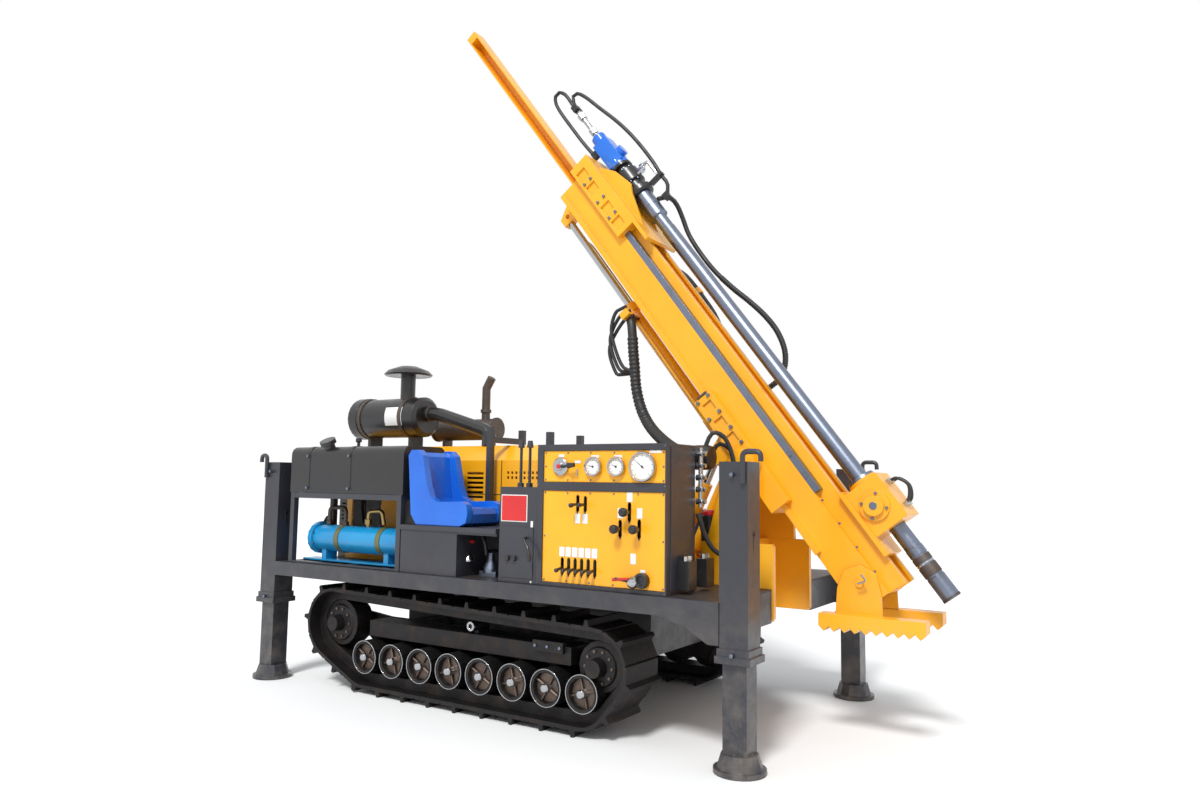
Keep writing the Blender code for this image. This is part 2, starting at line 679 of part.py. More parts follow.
def make_foot(parent):
    """Ears outside the mast on one pin, over two bearers with teeth, level at the rest lean."""
    shapes = []
    ear_in = MAST_HALF + 0.006
    up = Vector((math.sin(MAST_LEAN), math.cos(MAST_LEAN)))
    fore = Vector((math.cos(MAST_LEAN), -math.sin(MAST_LEAN)))
    pin = Vector((FOOT_PIN_X, FOOT_PIN_Z))

    def world(forward, upward):
        return tuple(pin + fore * forward + up * upward)

    for side in (-1, 1):
        y_low, y_high = pair(side, ear_in, ear_in + FOOT_EAR)
        outline = [world(-0.125, -FOOT_DROP), world(0.110, -FOOT_DROP), world(0.105, -0.05), world(0.08, 0.05),
                   world(0.0, 0.09), world(-0.08, 0.06), world(-0.115, -0.03)]
        shapes.append(plate(outline, y_low, y_high))
        outline = [world(-BEARER_BACK, -FOOT_DROP - BEARER_HIGH), world(-BEARER_BACK, -FOOT_DROP),
                   world(BEARER_FRONT, -FOOT_DROP), world(BEARER_FRONT, -FOOT_DROP - BEARER_HIGH)]
        pitch = (BEARER_BACK + BEARER_FRONT) / BEARER_TEETH
        for tooth in range(BEARER_TEETH):
            front = BEARER_FRONT - pitch * tooth
            outline.append(world(front - pitch / 2, -FOOT_DROP - BEARER_HIGH - BEARER_TOOTH))
            if tooth < BEARER_TEETH - 1:
                outline.append(world(front - pitch, -FOOT_DROP - BEARER_HIGH))
        y_low, y_high = pair(side, ear_in - 0.004, ear_in - 0.004 + BEARER_WIDE)
        shapes.append(plate(outline, y_low, y_high))
    pin_y = ear_in + FOOT_EAR + 0.010
    shapes.append(bar((pin.x, -pin_y, pin.y), (pin.x, pin_y, pin.y), FOOT_PIN_R, 20))
    tie = [world(-0.125, -FOOT_DROP - 0.015), world(-0.125, -FOOT_DROP - 0.060),
           world(-0.075, -FOOT_DROP - 0.060), world(-0.075, -FOOT_DROP - 0.015)]
    shapes.append(plate(tie, -ear_in - 0.005, ear_in + 0.005))
    piece("mast_foot", fused(*shapes), "amber", parent)


def make_clamp(parent):
    """Rod clamp: a block round the drill string on a bracket over the channel."""
    back = CHANNEL_FRONT + SEAT_GAP
    block = box((back + 0.02, -CLAMP_HALF, CLAMP_LOW), (ROD_X + 0.105, CLAMP_HALF, CLAMP_TOP))
    base = box((back, -CLAMP_HALF - 0.02, CLAMP_LOW - 0.10), (back + 0.025, CLAMP_HALF + 0.02, CLAMP_TOP + 0.02))
    shapes = [block, base]
    for side in (-1, 1):
        shapes.append(bar((ROD_X, side * (CLAMP_HALF - 0.01), -0.57), (ROD_X, side * (CLAMP_HALF + 0.02), -0.57), 0.07, 20))
    bore = bar((ROD_X, 0, CLAMP_LOW - 0.1), (ROD_X, 0, CLAMP_TOP + 0.1), ROD_R + RUN_GAP, 24)
    piece("rod_clamp", carved(fused(*shapes), bore), "amber", parent)


# Power head

def make_carriage(parent):
    """Guide shoes over the front rails, a face plate and two arms up to the power head."""
    rail_front = MAST_DEEP + SEAT_GAP + RAIL_DEEP
    face_low = CHANNEL_FRONT + RUN_GAP
    face_high = face_low + 0.022
    half = MAST_HALF + 0.040
    shapes = [box((face_low, -half, CARRIAGE_LOW), (face_high, half, CARRIAGE_TOP))]
    for side in (-1, 1):
        y_low, y_high = pair(side, MAST_HALF + SLIDE_GAP, half)
        shapes.append(box((MAST_DEEP - 0.030, y_low, CARRIAGE_LOW + 0.10), (face_high - 0.001, y_high, CARRIAGE_TOP - 0.001)))
        y_low, y_high = pair(side, CHANNEL_HALF + RUN_GAP, half - 0.001)
        shapes.append(box((rail_front + SLIDE_GAP, y_low, CARRIAGE_LOW + 0.10), (face_high - 0.002, y_high, CARRIAGE_TOP - 0.002)))
        y_low, y_high = pair(side, HEAD_R + SEAT_GAP, HEAD_R + 0.020)
        arm = [(face_high - 0.005, 1.60), (face_high - 0.005, 2.12), (ROD_X - 0.02, 2.00), (ROD_X + 0.01, 1.86),
               (ROD_X - 0.02, 1.80)]
        shapes.append(plate(arm, y_low, y_high))
    piece("feed_carriage", fused(*shapes), "amber", parent)


def make_head(parent):
    """Stepped gearbox between the carriage's arms, blue motor on top, swivel tube above it."""
    profile = [(0, 0), (0.052, 0), (0.052, -0.05), (0.078, -0.06), (0.078, -0.16), (0.060, -0.17),
               (0.060, -0.22), (HEAD_R, -0.225), (HEAD_R, -(HEAD_TOP - HEAD_LOW)), (0, -(HEAD_TOP - HEAD_LOW))]
    box_part = turned(profile, (ROD_X, 0, HEAD_TOP), sides=20)
    piece("power_head", box_part, "black", parent)
    low = HEAD_TOP + SEAT_GAP
    motor = box((ROD_X - 0.055, -0.055, low), (ROD_X + 0.055, 0.055, MOTOR_TOP))
    piece("head_motor", motor, "blue", parent)
    tube = bar((ROD_X, 0, MOTOR_TOP + SEAT_GAP), (ROD_X, 0, 2.62), 0.016, 12)
    nut = bar((ROD_X, 0, 2.40), (ROD_X, 0, 2.46), 0.028, 6)
    piece("head_swivel", fused(tube, nut), "chrome", parent)


def make_string(parent):
    top = HEAD_LOW - SEAT_GAP
    length = top - BIT_Z
    profile = [(0, 0), (0.058, 0), (0.058, -0.19), (0.042, -0.20), (0.042, -0.29), (ROD_R, -0.30),
               (ROD_R, -length + 0.16), (BIT_R, -length + 0.155), (BIT_R, -length), (0, -length)]
    piece("drill_string", turned(profile, (ROD_X, 0, top), sides=20), "steel", parent)


# Lift cylinders

def make_lift(side, base, rod_parent, length):
    """Barrel and rod along local z from the lower pin; length reaches the carrier's lug at rest."""
    name = "left" if side > 0 else "right"
    low = 0.014 + SLIDE_GAP
    y = side * LIFT_Y
    barrel = fused(
        bar((0, y, 0.075), (0, y, LIFT_BARREL_LONG), LIFT_BARREL_R, 20),
        bar((0, y, 0.020), (0, y, 0.080), 0.020, 16),
        bar((0, y - 0.022, 0), (0, y + 0.022, 0), 0.036, 20),
    )
    bore = bar((0, y, 0.10), (0, y, LIFT_BARREL_LONG + 0.1), LIFT_ROD_R + SLIDE_GAP, 20)
    pin = bar((0, y - 0.1, 0), (0, y + 0.1, 0), low, 16)
    piece("lift_barrel_" + name, carved(barrel, bore, pin), "amber", base)
    rod = fused(
        bar((0, y, LIFT_BARREL_LONG - 0.14), (0, y, length), LIFT_ROD_R, 20),
        bar((0, y - 0.018, length), (0, y + 0.018, length), LIFT_EYE, 20),
    )
    hole = bar((0, y - 0.1, length), (0, y + 0.1, length), 0.015, 12)
    piece("lift_rod_" + name, carved(rod, hole), "chrome", rod_parent)


# Engine and equipment

def make_engine(parent):
    floor = DECK_TOP + SEAT_GAP
    block = box((-0.620, -0.230, floor), (0.020, 0.230, 1.320))
    piece("engine_block", block, "black", parent)
    outer = box((-0.750, -0.500, floor), (0.240, 0.500, 1.520))
    top_cut = plate([(-0.02, 1.53), (0.25, 1.53), (0.25, 1.44), (-0.02, 1.521)], -0.6, 0.6)
    inner = box((-0.740, -0.490, floor - 0.1), (0.230, 0.490, 1.430))
    hood = carved(outer, inner, top_cut)
    cutters = [box((-0.355, -0.52, 1.20 + 0.036 * i), (-0.245, -0.45, 1.218 + 0.036 * i)) for i in range(6)]
    cutters += [box((-0.355, 0.45, 1.20 + 0.036 * i), (-0.245, 0.52, 1.218 + 0.036 * i)) for i in range(6)]
    cutters.append(box((-0.70, -0.52, 0.78), (0.20, -0.45, 1.12)))
    cutters.append(box((-0.70, 0.45, 0.78), (0.20, 0.52, 1.12)))
    cutters.append(box((-0.80, -0.42, 0.80), (-0.70, 0.42, 1.40)))
    piece("engine_hood", carved(hood, *cutters), "amber", parent)
    frame = box((-0.840, -0.400, floor), (-0.770, 0.400, RADIATOR_TOP))
    piece("radiator", frame, "black", parent)


def make_breathing(parent):
    """Air cleaner with rain cap and duct on the operator's side, muffler and stack on the far side."""
    body = turned([(0, 0), (0.12, 0), (0.135, -0.02), (0.135, -0.42), (0.145, -0.43), (0.145, -0.50),
                   (0.11, -0.53), (0, -0.53)], (-0.72, -0.55, 1.685), (1, 0, 0), 24)
    cap = turned([(0, 0), (0.05, -0.005), (0.14, -0.04), (0.14, -0.065), (0.05, -0.07), (0.045, -0.25),
                  (0, -0.25)], (-0.88, -0.50, 2.05), (0, 0, 1), 24)
    legs = [box((x, -0.515, 1.43), (x + 0.03, -0.455, 1.62)) for x in (-1.10, -0.86)]
    shelf = box((-1.12, -0.52, RADIATOR_TOP + SEAT_GAP), (-0.78, -0.30, RADIATOR_TOP + 0.02))
    piece("air_cleaner", fused(body, cap, *legs, shelf), "black", parent)
    muffler = bar((-1.30, 0.36, 1.68), (-0.80, 0.36, 1.68), 0.075, 20)
    stack = pipe([(-1.00, 0.36, 1.70), (-1.00, 0.36, 1.98), (-0.96, 0.36, 2.05)], 0.030, 3)
    mount = box((-0.95, 0.33, RADIATOR_TOP + 0.01), (-0.91, 0.39, 1.62))
    foot = box((-0.95, 0.325, RADIATOR_TOP + SEAT_GAP), (-0.78, 0.395, RADIATOR_TOP + 0.02))
    piece("muffler", fused(muffler, stack, mount, foot), "worn", parent)


def make_rack(parent):
    """Angle-iron rack at the rear that carries the fuel tank, with the oil cooler inside."""
    floor = DECK_TOP + SEAT_GAP
    x_end = RACK_X + RACK_LONG
    shapes = []
    for y in (-0.90, -0.58):
        for x in (RACK_X, x_end - 0.035):
            shapes.append(box((x, y, floor), (x + 0.035, y + 0.035, RACK_TOP)))
        shapes.append(box((RACK_X + 0.005, y + 0.001, RACK_TOP - 0.035), (x_end - 0.005, y + 0.034, RACK_TOP - 0.001)))
        shapes.append(box((RACK_X + 0.005, y + 0.001, floor + 0.001), (x_end - 0.005, y + 0.034, floor + 0.012)))
    for x in (RACK_X + 0.002, -0.98, x_end - 0.037):
        shapes.append(box((x, -0.895, RACK_TOP - 0.030), (x + 0.033, -0.551, RACK_TOP - 0.002)))
        shapes.append(box((x, -0.895, floor + 0.002), (x + 0.033, -0.551, floor + 0.010)))
    piece("equipment_rack", fused(*shapes), "charcoal", parent)
    low = RACK_TOP + SEAT_GAP
    tank = box((RACK_X - 0.01, -0.89, low), (x_end + 0.01, -0.53, low + TANK_HIGH))
    piece("fuel_tank", tank, "black", parent)
    cooler = bar((-1.41, -0.72, 0.90), (-0.53, -0.72, 0.90), 0.085, 20)
    feet = [box((x, -0.76, floor + 0.011), (x + 0.04, -0.68, 0.85)) for x in (-1.30, -0.75)]
    base = box((-1.32, -0.78, floor + 0.010 + SEAT_GAP), (-0.70, -0.66, floor + 0.03))
    piece("oil_cooler", fused(cooler, base, *feet), "cyan", parent)


def make_hydraulic_tank(parent):
    floor = DECK_TOP + SEAT_GAP
    tank = box((0.36, 0.45, floor), (1.20, 0.90, 1.10))
    cap = bar((0.45, 0.68, 1.09), (0.45, 0.68, 1.14), 0.04, 16)
    piece("hydraulic_tank", fused(tank, cap), "charcoal", parent)


def make_seat(parent):
    floor = DECK_TOP + SEAT_GAP
    x_end = SEAT_BOX_X + SEAT_BOX_LONG
    solid = box((SEAT_BOX_X, -PANEL_FACE, floor), (-0.040, -0.58, SEAT_BOX_TOP))
    bay_back = box((-0.045, -0.66, floor), (x_end, -0.58, SEAT_BOX_TOP))
    bay_top = box((-0.045, -PANEL_FACE, SEAT_BOX_TOP - 0.03), (x_end, -0.59, SEAT_BOX_TOP))
    piece("seat_box", fused(solid, bay_back, bay_top), "charcoal", parent)
    base = SEAT_BOX_TOP + SEAT_GAP
    pan = box((-0.42, -0.90, base), (0.00, -0.58, base + 0.10))
    rest = box((-0.43, -0.90, base), (-0.34, -0.58, base + 0.42))
    piece("seat", fused(pan, rest), "blue", parent)


def make_console(parent):
    floor = DECK_TOP + SEAT_GAP
    end = PANEL_X - SEAT_GAP
    body = box((CONSOLE_X, -PANEL_FACE, floor), (end, -0.62, CONSOLE_TOP))
    shapes = [body]
    for x in (0.40, 0.46):
        shapes.append(bar((x, -0.80, CONSOLE_TOP - 0.02), (x, -0.80, 1.48), 0.009, 8))
        shapes.append(bar((x, -0.80, 1.45), (x, -0.80, 1.50), 0.018, 12))
    piece("side_console", fused(*shapes), "charcoal", parent)


def make_panel(parent):
    floor = DECK_TOP + SEAT_GAP
    end = PANEL_X + PANEL_LONG
    body = box((PANEL_X, -PANEL_FACE, floor), (end, -PANEL_FACE + PANEL_DEEP, PANEL_TOP))
    recess_low = box((PANEL_X + 0.025, -PANEL_FACE - 0.02, floor + 0.02), (end - 0.025, -PANEL_FACE + 0.012, 1.245))
    recess_top = box((PANEL_X + 0.025, -PANEL_FACE - 0.02, 1.285), (end - 0.025, -PANEL_FACE + 0.012, PANEL_TOP - 0.02))
    piece("panel_cabinet", carved(body, recess_low, recess_top), "charcoal", parent)
    face = -PANEL_FACE + 0.012 - SEAT_GAP
    low = box((PANEL_X + 0.026, face - 0.008, floor + 0.021), (end - 0.026, face, 1.244))
    piece("panel_plate", low, "amber", parent)
    top = box((PANEL_X + 0.026, face - 0.008, 1.286), (end - 0.026, face, PANEL_TOP - 0.021))
    gauges = [top]
    for x, radius in ((0.657, 0.032), (0.867, 0.040), (1.002, 0.040), (1.159, 0.062)):
        gauges.append(bar((x, face - 0.006, 1.365), (x, face - 0.030, 1.365), radius, 20))
    piece("gauge_plate", fused(*gauges), "amber", parent)


def make_rest(parent):
    """Two frames that the lowered mast lies over, ahead of and behind each other."""
    floor = DECK_TOP + SEAT_GAP
    shapes = []
    for x, top in ((-0.300, 1.610), (0.270, 1.500)):
        for y in (-0.56, 0.52):
            shapes.append(box((x, y, floor), (x + 0.040, y + 0.040, top)))
        shapes.append(box((x, -0.56, top - 0.045), (x + 0.040, 0.56, top)))
    for y in (-0.56, 0.52):
        shapes.append(box((-0.300, y, floor), (0.310, y + 0.040, floor + 0.02)))
    piece("mast_rest", fused(*shapes), "charcoal", parent)


def lift_geometry():
    """Length and lean from upright of a lift cylinder at rest, pin to lug."""
    cos = math.cos(MAST_LEAN)
    sin = math.sin(MAST_LEAN)
    lug_x = PIVOT_X + LIFT_LUG_X * cos - LIFT_LUG_Z * sin
    lug_z = PIVOT_Z + LIFT_LUG_X * sin + LIFT_LUG_Z * cos
    return math.hypot(lug_x - LIFT_X, lug_z - LIFT_Z), math.atan2(lug_x - LIFT_X, lug_z - LIFT_Z)


def build():
    rear_reach = LEG_X + FOOT_R
    front_reach = PIVOT_X + (ROD_X + BIT_R) * math.cos(MAST_LEAN) - BIT_Z * math.sin(MAST_LEAN)
    machine = empty("machine", (-(front_reach - rear_reach) / 2, 0, 0))
    make_deck(machine)
    make_chassis(machine)
    for side in (-1, 1):
        make_track_loop(side, machine)
        make_track_frame(side, machine)
    for name in LEGS:
        make_sleeve(name, machine)
        make_post(name, empty("leg_slide_" + name, parent=machine))
    make_support(machine)
    make_rest(machine)
    make_engine(machine)
    make_breathing(machine)
    make_rack(machine)
    make_hydraulic_tank(machine)
    make_seat(machine)
    make_console(machine)
    make_panel(machine)

    tilt = empty("mast_tilt", (PIVOT_X, 0, PIVOT_Z), (0, -MAST_LEAN, 0), machine)
    make_carrier(tilt)
    slide = empty("mast_slide", parent=tilt)
    make_slide_cylinder(tilt, slide)
    make_mast(slide)
    make_extension(slide)
    make_clamp(slide)
    make_foot(slide)
    feed = empty("head_feed", parent=slide)
    make_carriage(feed)
    make_head(feed)
    make_string(empty("spindle", parent=feed))
    length, lean = lift_geometry()
    base = empty("lift_pin", (LIFT_X, 0, LIFT_Z), (0, lean, 0), machine)
    rods = empty("lift_slide", parent=base)
    for side in (-1, 1):
        make_lift(side, base, rods, length)


clear_scene()
PARTS = new_collection("core_drilling_rig")
RIG = new_collection("rig")
build()
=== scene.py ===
"""The look of the crawler core drilling rig: shapes, small parts, hoses, finishes, light and camera."""

import json
import math

import bmesh
import bpy
from mathutils import Matrix, Vector


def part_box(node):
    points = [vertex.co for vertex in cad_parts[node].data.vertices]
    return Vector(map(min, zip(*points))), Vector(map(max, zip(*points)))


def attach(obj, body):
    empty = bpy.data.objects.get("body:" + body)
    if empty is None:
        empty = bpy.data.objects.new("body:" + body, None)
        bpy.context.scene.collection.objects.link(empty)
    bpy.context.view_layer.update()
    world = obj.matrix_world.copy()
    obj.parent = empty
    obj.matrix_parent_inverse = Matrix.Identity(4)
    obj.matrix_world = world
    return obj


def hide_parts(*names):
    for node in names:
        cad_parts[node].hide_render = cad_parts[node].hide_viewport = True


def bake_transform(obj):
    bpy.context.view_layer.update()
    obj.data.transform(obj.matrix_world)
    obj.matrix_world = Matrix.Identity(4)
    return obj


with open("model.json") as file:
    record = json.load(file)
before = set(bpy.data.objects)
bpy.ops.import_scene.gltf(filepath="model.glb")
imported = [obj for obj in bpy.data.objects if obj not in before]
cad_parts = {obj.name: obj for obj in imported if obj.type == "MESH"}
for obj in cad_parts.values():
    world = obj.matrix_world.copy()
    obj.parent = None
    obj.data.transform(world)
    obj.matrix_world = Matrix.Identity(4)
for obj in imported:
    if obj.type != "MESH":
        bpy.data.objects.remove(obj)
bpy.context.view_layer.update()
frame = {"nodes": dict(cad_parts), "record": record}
NODES = frame["nodes"]
RIG = bpy.context.scene.collection

# The photograph's camera
CAMERA_PLACE = Vector((2.943, -4.594, 1.280))
CAMERA_YAW = math.radians(32.82)
CAMERA_PITCH = math.radians(5.38)
CAMERA_ROLL = 0.0137
FOCAL_PIXELS = 873.3
FRAME_WIDE = 1200
SENSOR_WIDE = 36.0

# Light
KEY_STRENGTH = 2.6
FILL_STRENGTH = 0.80
FLOOR_SIZE = 60.0
FLOOR_COLOUR = (0.86, 0.86, 0.85)

# Clearances: seated, sliding, running, and the overlap that a union needs
SEAT_GAP = 0.0003
SLIDE_GAP = 0.0008
RUN_GAP = 0.006
BOOLEAN_OVERLAP = 0.002

# Sheet metal
SHEET = 0.006

# Deck
DECK_TOP = 0.746
DECK_PLATE = 0.008
BEAM_HIGH = 0.086
BEAM_WIDE = 0.060
DECK_HALF = 0.930
EQUIPMENT_INSET = 0.030
EQUIPMENT_OUT = DECK_HALF - EQUIPMENT_INSET
CROSS_X = (-0.900, -0.300, 0.300, 0.820)
BAY_X = 1.300

# Equipment on the deck, from the control panel backwards
PANEL_X = 0.510
PANEL_LONG = 0.770
PANEL_DEEP = 0.300
PANEL_TOP = 1.472
PANEL_SPLIT = 1.265
PANEL_RIM = 0.038
PANEL_RECESS = 0.012
PANEL_SHEET = 0.005
LEVER_REACH = 0.074
CONSOLE_LONG = 0.247
CONSOLE_DEEP = 0.280
CONSOLE_TOP = 1.249
CONSOLE_X = PANEL_X - CONSOLE_LONG
SEAT_BOX_LONG = 0.717
SEAT_BOX_DEEP = 0.320
SEAT_BOX_GAP = 0.018
SEAT_BOX_TOP = 1.021
SEAT_BAY_LONG = 0.285
SEAT_BOX_X = CONSOLE_X - SEAT_BOX_GAP - SEAT_BOX_LONG
RACK_GAP = 0.008
RACK_LONG = 0.990
RACK_DEEP = 0.355
RACK_TOP = 1.190
RACK_BAR = 0.035
RACK_END = SEAT_BOX_X - RACK_GAP
RACK_X = RACK_END - RACK_LONG
TANK_HIGH = 0.290
TANK_CORNER = 0.050
# How far the tank stands out behind the rack
TANK_OVERHANG = 0.010
COOLER_R = 0.085
COOLER_Z = 0.900

# Legs
SLEEVE_SIZE = 0.140
SLEEVE_WALL = 0.006
SLEEVE_LOW = 0.500
SLEEVE_TOP = 1.382
LEG_INSET = 0.006
PANEL_TO_LEG = 0.284
RACK_TO_LEG = 0.094
LEG_Y = DECK_HALF - SLEEVE_SIZE / 2 - LEG_INSET
LEG_FRONT_X = PANEL_X + PANEL_LONG + PANEL_TO_LEG + SLEEVE_SIZE / 2
LEG_REAR_X = RACK_X - RACK_TO_LEG - SLEEVE_SIZE / 2
POST_SIZE = 0.116
FOOT_R = 0.120
FOOT_PLATE = 0.022
HOOK_R = 0.013
HOOK_INSET = 0.020
HOOK_WIDE = 0.088
REAR_HOOK_WIDE = 0.054

# Tracks
SHOE_WIDTH = 0.320
TRACK_INSET = 0.080
TRACK_MID_Y = DECK_HALF - TRACK_INSET - SHOE_WIDTH / 2
CHAIN_WIDTH = 0.150
LUG_HIGH = 0.032
SHOE_THICK = 0.018
LINK_HIGH = 0.060
ROLLER_R = 0.100
FRAME_GAP = 0.025
FRAME_PLATE = 0.020
FRAME_LOW = 0.325
FRAME_HIGH = 0.418
SPROCKET_X = -1.100
SPROCKET_Z = 0.385
SPROCKET_R = 0.140
IDLER_X = 0.830
IDLER_Z = 0.345
IDLER_R = 0.130
FIRST_ROLLER_X = -0.822
LAST_ROLLER_X = 0.756
ROLLER_COUNT = 8
CARRIER_ROLLER_X = -0.039
CARRIER_ROLLER_Z = 0.462
CARRIER_ROLLER_R = 0.030
SHOE_COUNT = 26

# Mast, in its own frame: x forward of its back face, z up along it.
# MAST_X and MAST_Z place that frame at rest.
MAST_X = 1.388
MAST_Z = 1.397
MAST_LEAN = math.radians(37.3)
MAST_HALF = 0.140
MAST_DEEP = 0.186
MAST_WALL = 0.010
MAST_LOW = -0.950
MAST_TOP = 2.150
RAIL_DEEP = 0.038
RAIL_WIDE = 0.045
RAIL_LOW = -0.340
RAIL_TOP = 2.100
CHANNEL_HALF = 0.095
CHANNEL_FRONT = 0.278
CHANNEL_WALL = 0.014
CHANNEL_LIP = 0.035
FLANGE_OUT = 0.025
FLANGE_DEEP = 0.030
CARRIER_LOW = -0.300
CARRIER_TOP = 0.455
CARRIER_HALF = 0.200
CARRIER_BACK = -0.050
CARRIER_LIP = 0.066
CHEEK = 0.022
CHEEK_BOSS_R = 0.090
FOOT_PIN_X = 0.104
FOOT_PIN_Z = -0.835
FOOT_PIN_R = 0.022

# Slide cylinder
SLIDE_X = -0.095
SLIDE_BARREL_R = 0.0375
SLIDE_ROD_R = 0.0225
SLIDE_PIN_R = 0.012
SLIDE_PIN_Z = 0.360
SLIDE_BARREL_LOW = 0.330
SLIDE_BARREL_TOP = 1.290
SLIDE_LUG_Z = 2.040

# Drill head and string
ROD_X = 0.392
ROD_R = 0.0445
BIT_R = 0.047
BIT_Z = -1.130
HEAD_R = 0.084
HEAD_LOW = 1.790
HEAD_TOP = 2.056
MOTOR_TOP = 2.350
MOTOR_HALF = 0.055
CARRIAGE_LOW = 1.450
CARRIAGE_TOP = 2.200
CARRIAGE_SIDE = 0.040
CLAMP_LOW = -0.700
CLAMP_TOP = -0.440
CLAMP_HALF = 0.115

# Hoses
HOSE_R = 0.012
FEED_HOSE_R = 0.015
MAST_HOSE_R = 0.024
TILT_HOSE_R = 0.028
SWIVEL_TOP = 2.620
GLAND_INSET = 0.115
GLAND_HALF = 0.045
GLAND_DEEP = 0.035

# Mast support: a wide box at the front of the deck, with a well for the upright mast and arms beside it
SUPPORT_HALF = 0.290
SUPPORT_LONG = 0.400
SUPPORT_LOW = 0.580
SUPPORT_TOP = 0.972
WELL_BACK = 1.330
ARM_R = 0.075
ARM_IN = 0.252

# Engine
HOOD_TO_RACK = 0.095
HOOD_HALF = EQUIPMENT_OUT - RACK_DEEP - HOOD_TO_RACK
HOOD_REAR = -1.450
HOOD_FRONT = 0.260
HOOD_TOP = 1.500
HOOD_SHOULDER_Z = 1.405
HOOD_SHOULDER = 0.120
HOOD_WALL = 0.010
RADIATOR_TOP = 1.400
SHROUD_R = 0.330
HOOP_R = 0.300
FAN_Z = 1.090
CLEANER_Y = -0.300
CLEANER_Z = 1.700
CLEANER_R = 0.135
CLEANER_END = -0.867
CLEANER_LONG = 0.660
DUCT_R = 0.045
MUFFLER_Y = 0.150
MUFFLER_Z = 1.640
MUFFLER_R = 0.075

# Lift cylinders: lower pins in the machine, eyes in the mast's frame
LIFT_PIN_R = 0.014
EAR_X = 0.900
EAR_Y = 0.125
EAR_Z = 0.830
EYE_X = -0.150
EYE_Z = 0.150
TRUNNION_R = 0.036


def set_camera():
    """The photograph's camera, from its place, heading, pitch, roll and focal length."""
    right = Vector((math.cos(CAMERA_YAW), math.sin(CAMERA_YAW), 0))
    ahead = Vector((-math.sin(CAMERA_YAW) * math.cos(CAMERA_PITCH),
                    math.cos(CAMERA_YAW) * math.cos(CAMERA_PITCH), math.sin(CAMERA_PITCH)))
    up = right.cross(ahead)
    turn = Matrix.Rotation(CAMERA_ROLL, 3, -ahead)
    axes = [turn @ right, turn @ up, -ahead]
    data = bpy.data.cameras.new("camera")
    data.sensor_width = SENSOR_WIDE
    data.lens = FOCAL_PIXELS / FRAME_WIDE * SENSOR_WIDE
    data.clip_end = 200
    camera = bpy.data.objects.new("camera", data)
    bpy.context.scene.collection.objects.link(camera)
    camera.matrix_world = Matrix.Translation(CAMERA_PLACE) @ Matrix(axes).transposed().to_4x4()
    bpy.context.scene.camera = camera


class Shader:
    """A material's node tree, with short calls for the nodes used here."""

    def __init__(self, name):
        self.material = bpy.data.materials.new(name)
        self.material.use_nodes = True
        self.tree = self.material.node_tree
        self.surface = self.tree.nodes["Principled BSDF"]
        self.coords = self.tree.nodes.new("ShaderNodeTexCoord").outputs["Object"]

    def node(self, kind, **values):
        made = self.tree.nodes.new(kind)
        for key, value in values.items():
            setattr(made, key, value)
        return made

    def link(self, source, target):
        self.tree.links.new(source, target)

    def noise(self, scale, detail=4.0, rough=0.55, stretch=None):
        made = self.node("ShaderNodeTexNoise")
        made.inputs["Scale"].default_value = scale
        made.inputs["Detail"].default_value = detail
        made.inputs["Roughness"].default_value = rough
        source = self.coords
        if stretch:
            place = self.node("ShaderNodeMapping")
            place.inputs["Scale"].default_value = stretch
            self.link(source, place.inputs["Vector"])
            source = place.outputs["Vector"]
        self.link(source, made.inputs["Vector"])
        return made.outputs["Fac"]

    def ramp(self, source, low, high, low_value=0.0, high_value=1.0):
        made = self.node("ShaderNodeMapRange")
        made.inputs["From Min"].default_value = low
        made.inputs["From Max"].default_value = high
        made.inputs["To Min"].default_value = low_value
        made.inputs["To Max"].default_value = high_value
        self.link(source, made.inputs["Value"])
        return made.outputs["Result"]

    def mixed(self, share, first, second):
        """A colour between two, each a colour or a socket."""
        made = self.node("ShaderNodeMix", data_type="RGBA")
        self.link(share, made.inputs["Factor"])
        for socket, value in ((made.inputs[6], first), (made.inputs[7], second)):
            if isinstance(value, bpy.types.NodeSocket):
                self.link(value, socket)
            else:
                socket.default_value = (*value, 1.0)
        return made.outputs[2]

    def times(self, first, second):
        made = self.node("ShaderNodeMath", operation="MULTIPLY")
        for socket, value in zip(made.inputs, (first, second)):
            if isinstance(value, bpy.types.NodeSocket):
                self.link(value, socket)
            else:
                socket.default_value = value
        return made.outputs["Value"]

    def height(self):
        split = self.node("ShaderNodeSeparateXYZ")
        self.link(self.coords, split.inputs["Vector"])
        return split.outputs["Z"]

    def edges(self, radius=0.006):
        """0 on flats and 1 along sharp edges, from the difference between the rounded and the true normal."""
        rounded = self.node("ShaderNodeBevel", samples=4)
        rounded.inputs["Radius"].default_value = radius
        true = self.node("ShaderNodeNewGeometry")
        dot = self.node("ShaderNodeVectorMath", operation="DOT_PRODUCT")
        self.link(rounded.outputs["Normal"], dot.inputs[0])
        self.link(true.outputs["True Normal"], dot.inputs[1])
        return self.ramp(dot.outputs["Value"], 0.98, 0.80), rounded.outputs["Normal"]

    def bump(self, source, strength, distance=0.002, normal=None):
        made = self.node("ShaderNodeBump")
        made.inputs["Strength"].default_value = strength
        made.inputs["Distance"].default_value = distance
        self.link(source, made.inputs["Height"])
        if normal:
            self.link(normal, made.inputs["Normal"])
        self.link(made.outputs["Normal"], self.surface.inputs["Normal"])

    def set(self, name, value):
        if isinstance(value, bpy.types.NodeSocket):
            self.link(value, self.surface.inputs[name])
        else:
            self.surface.inputs[name].default_value = value


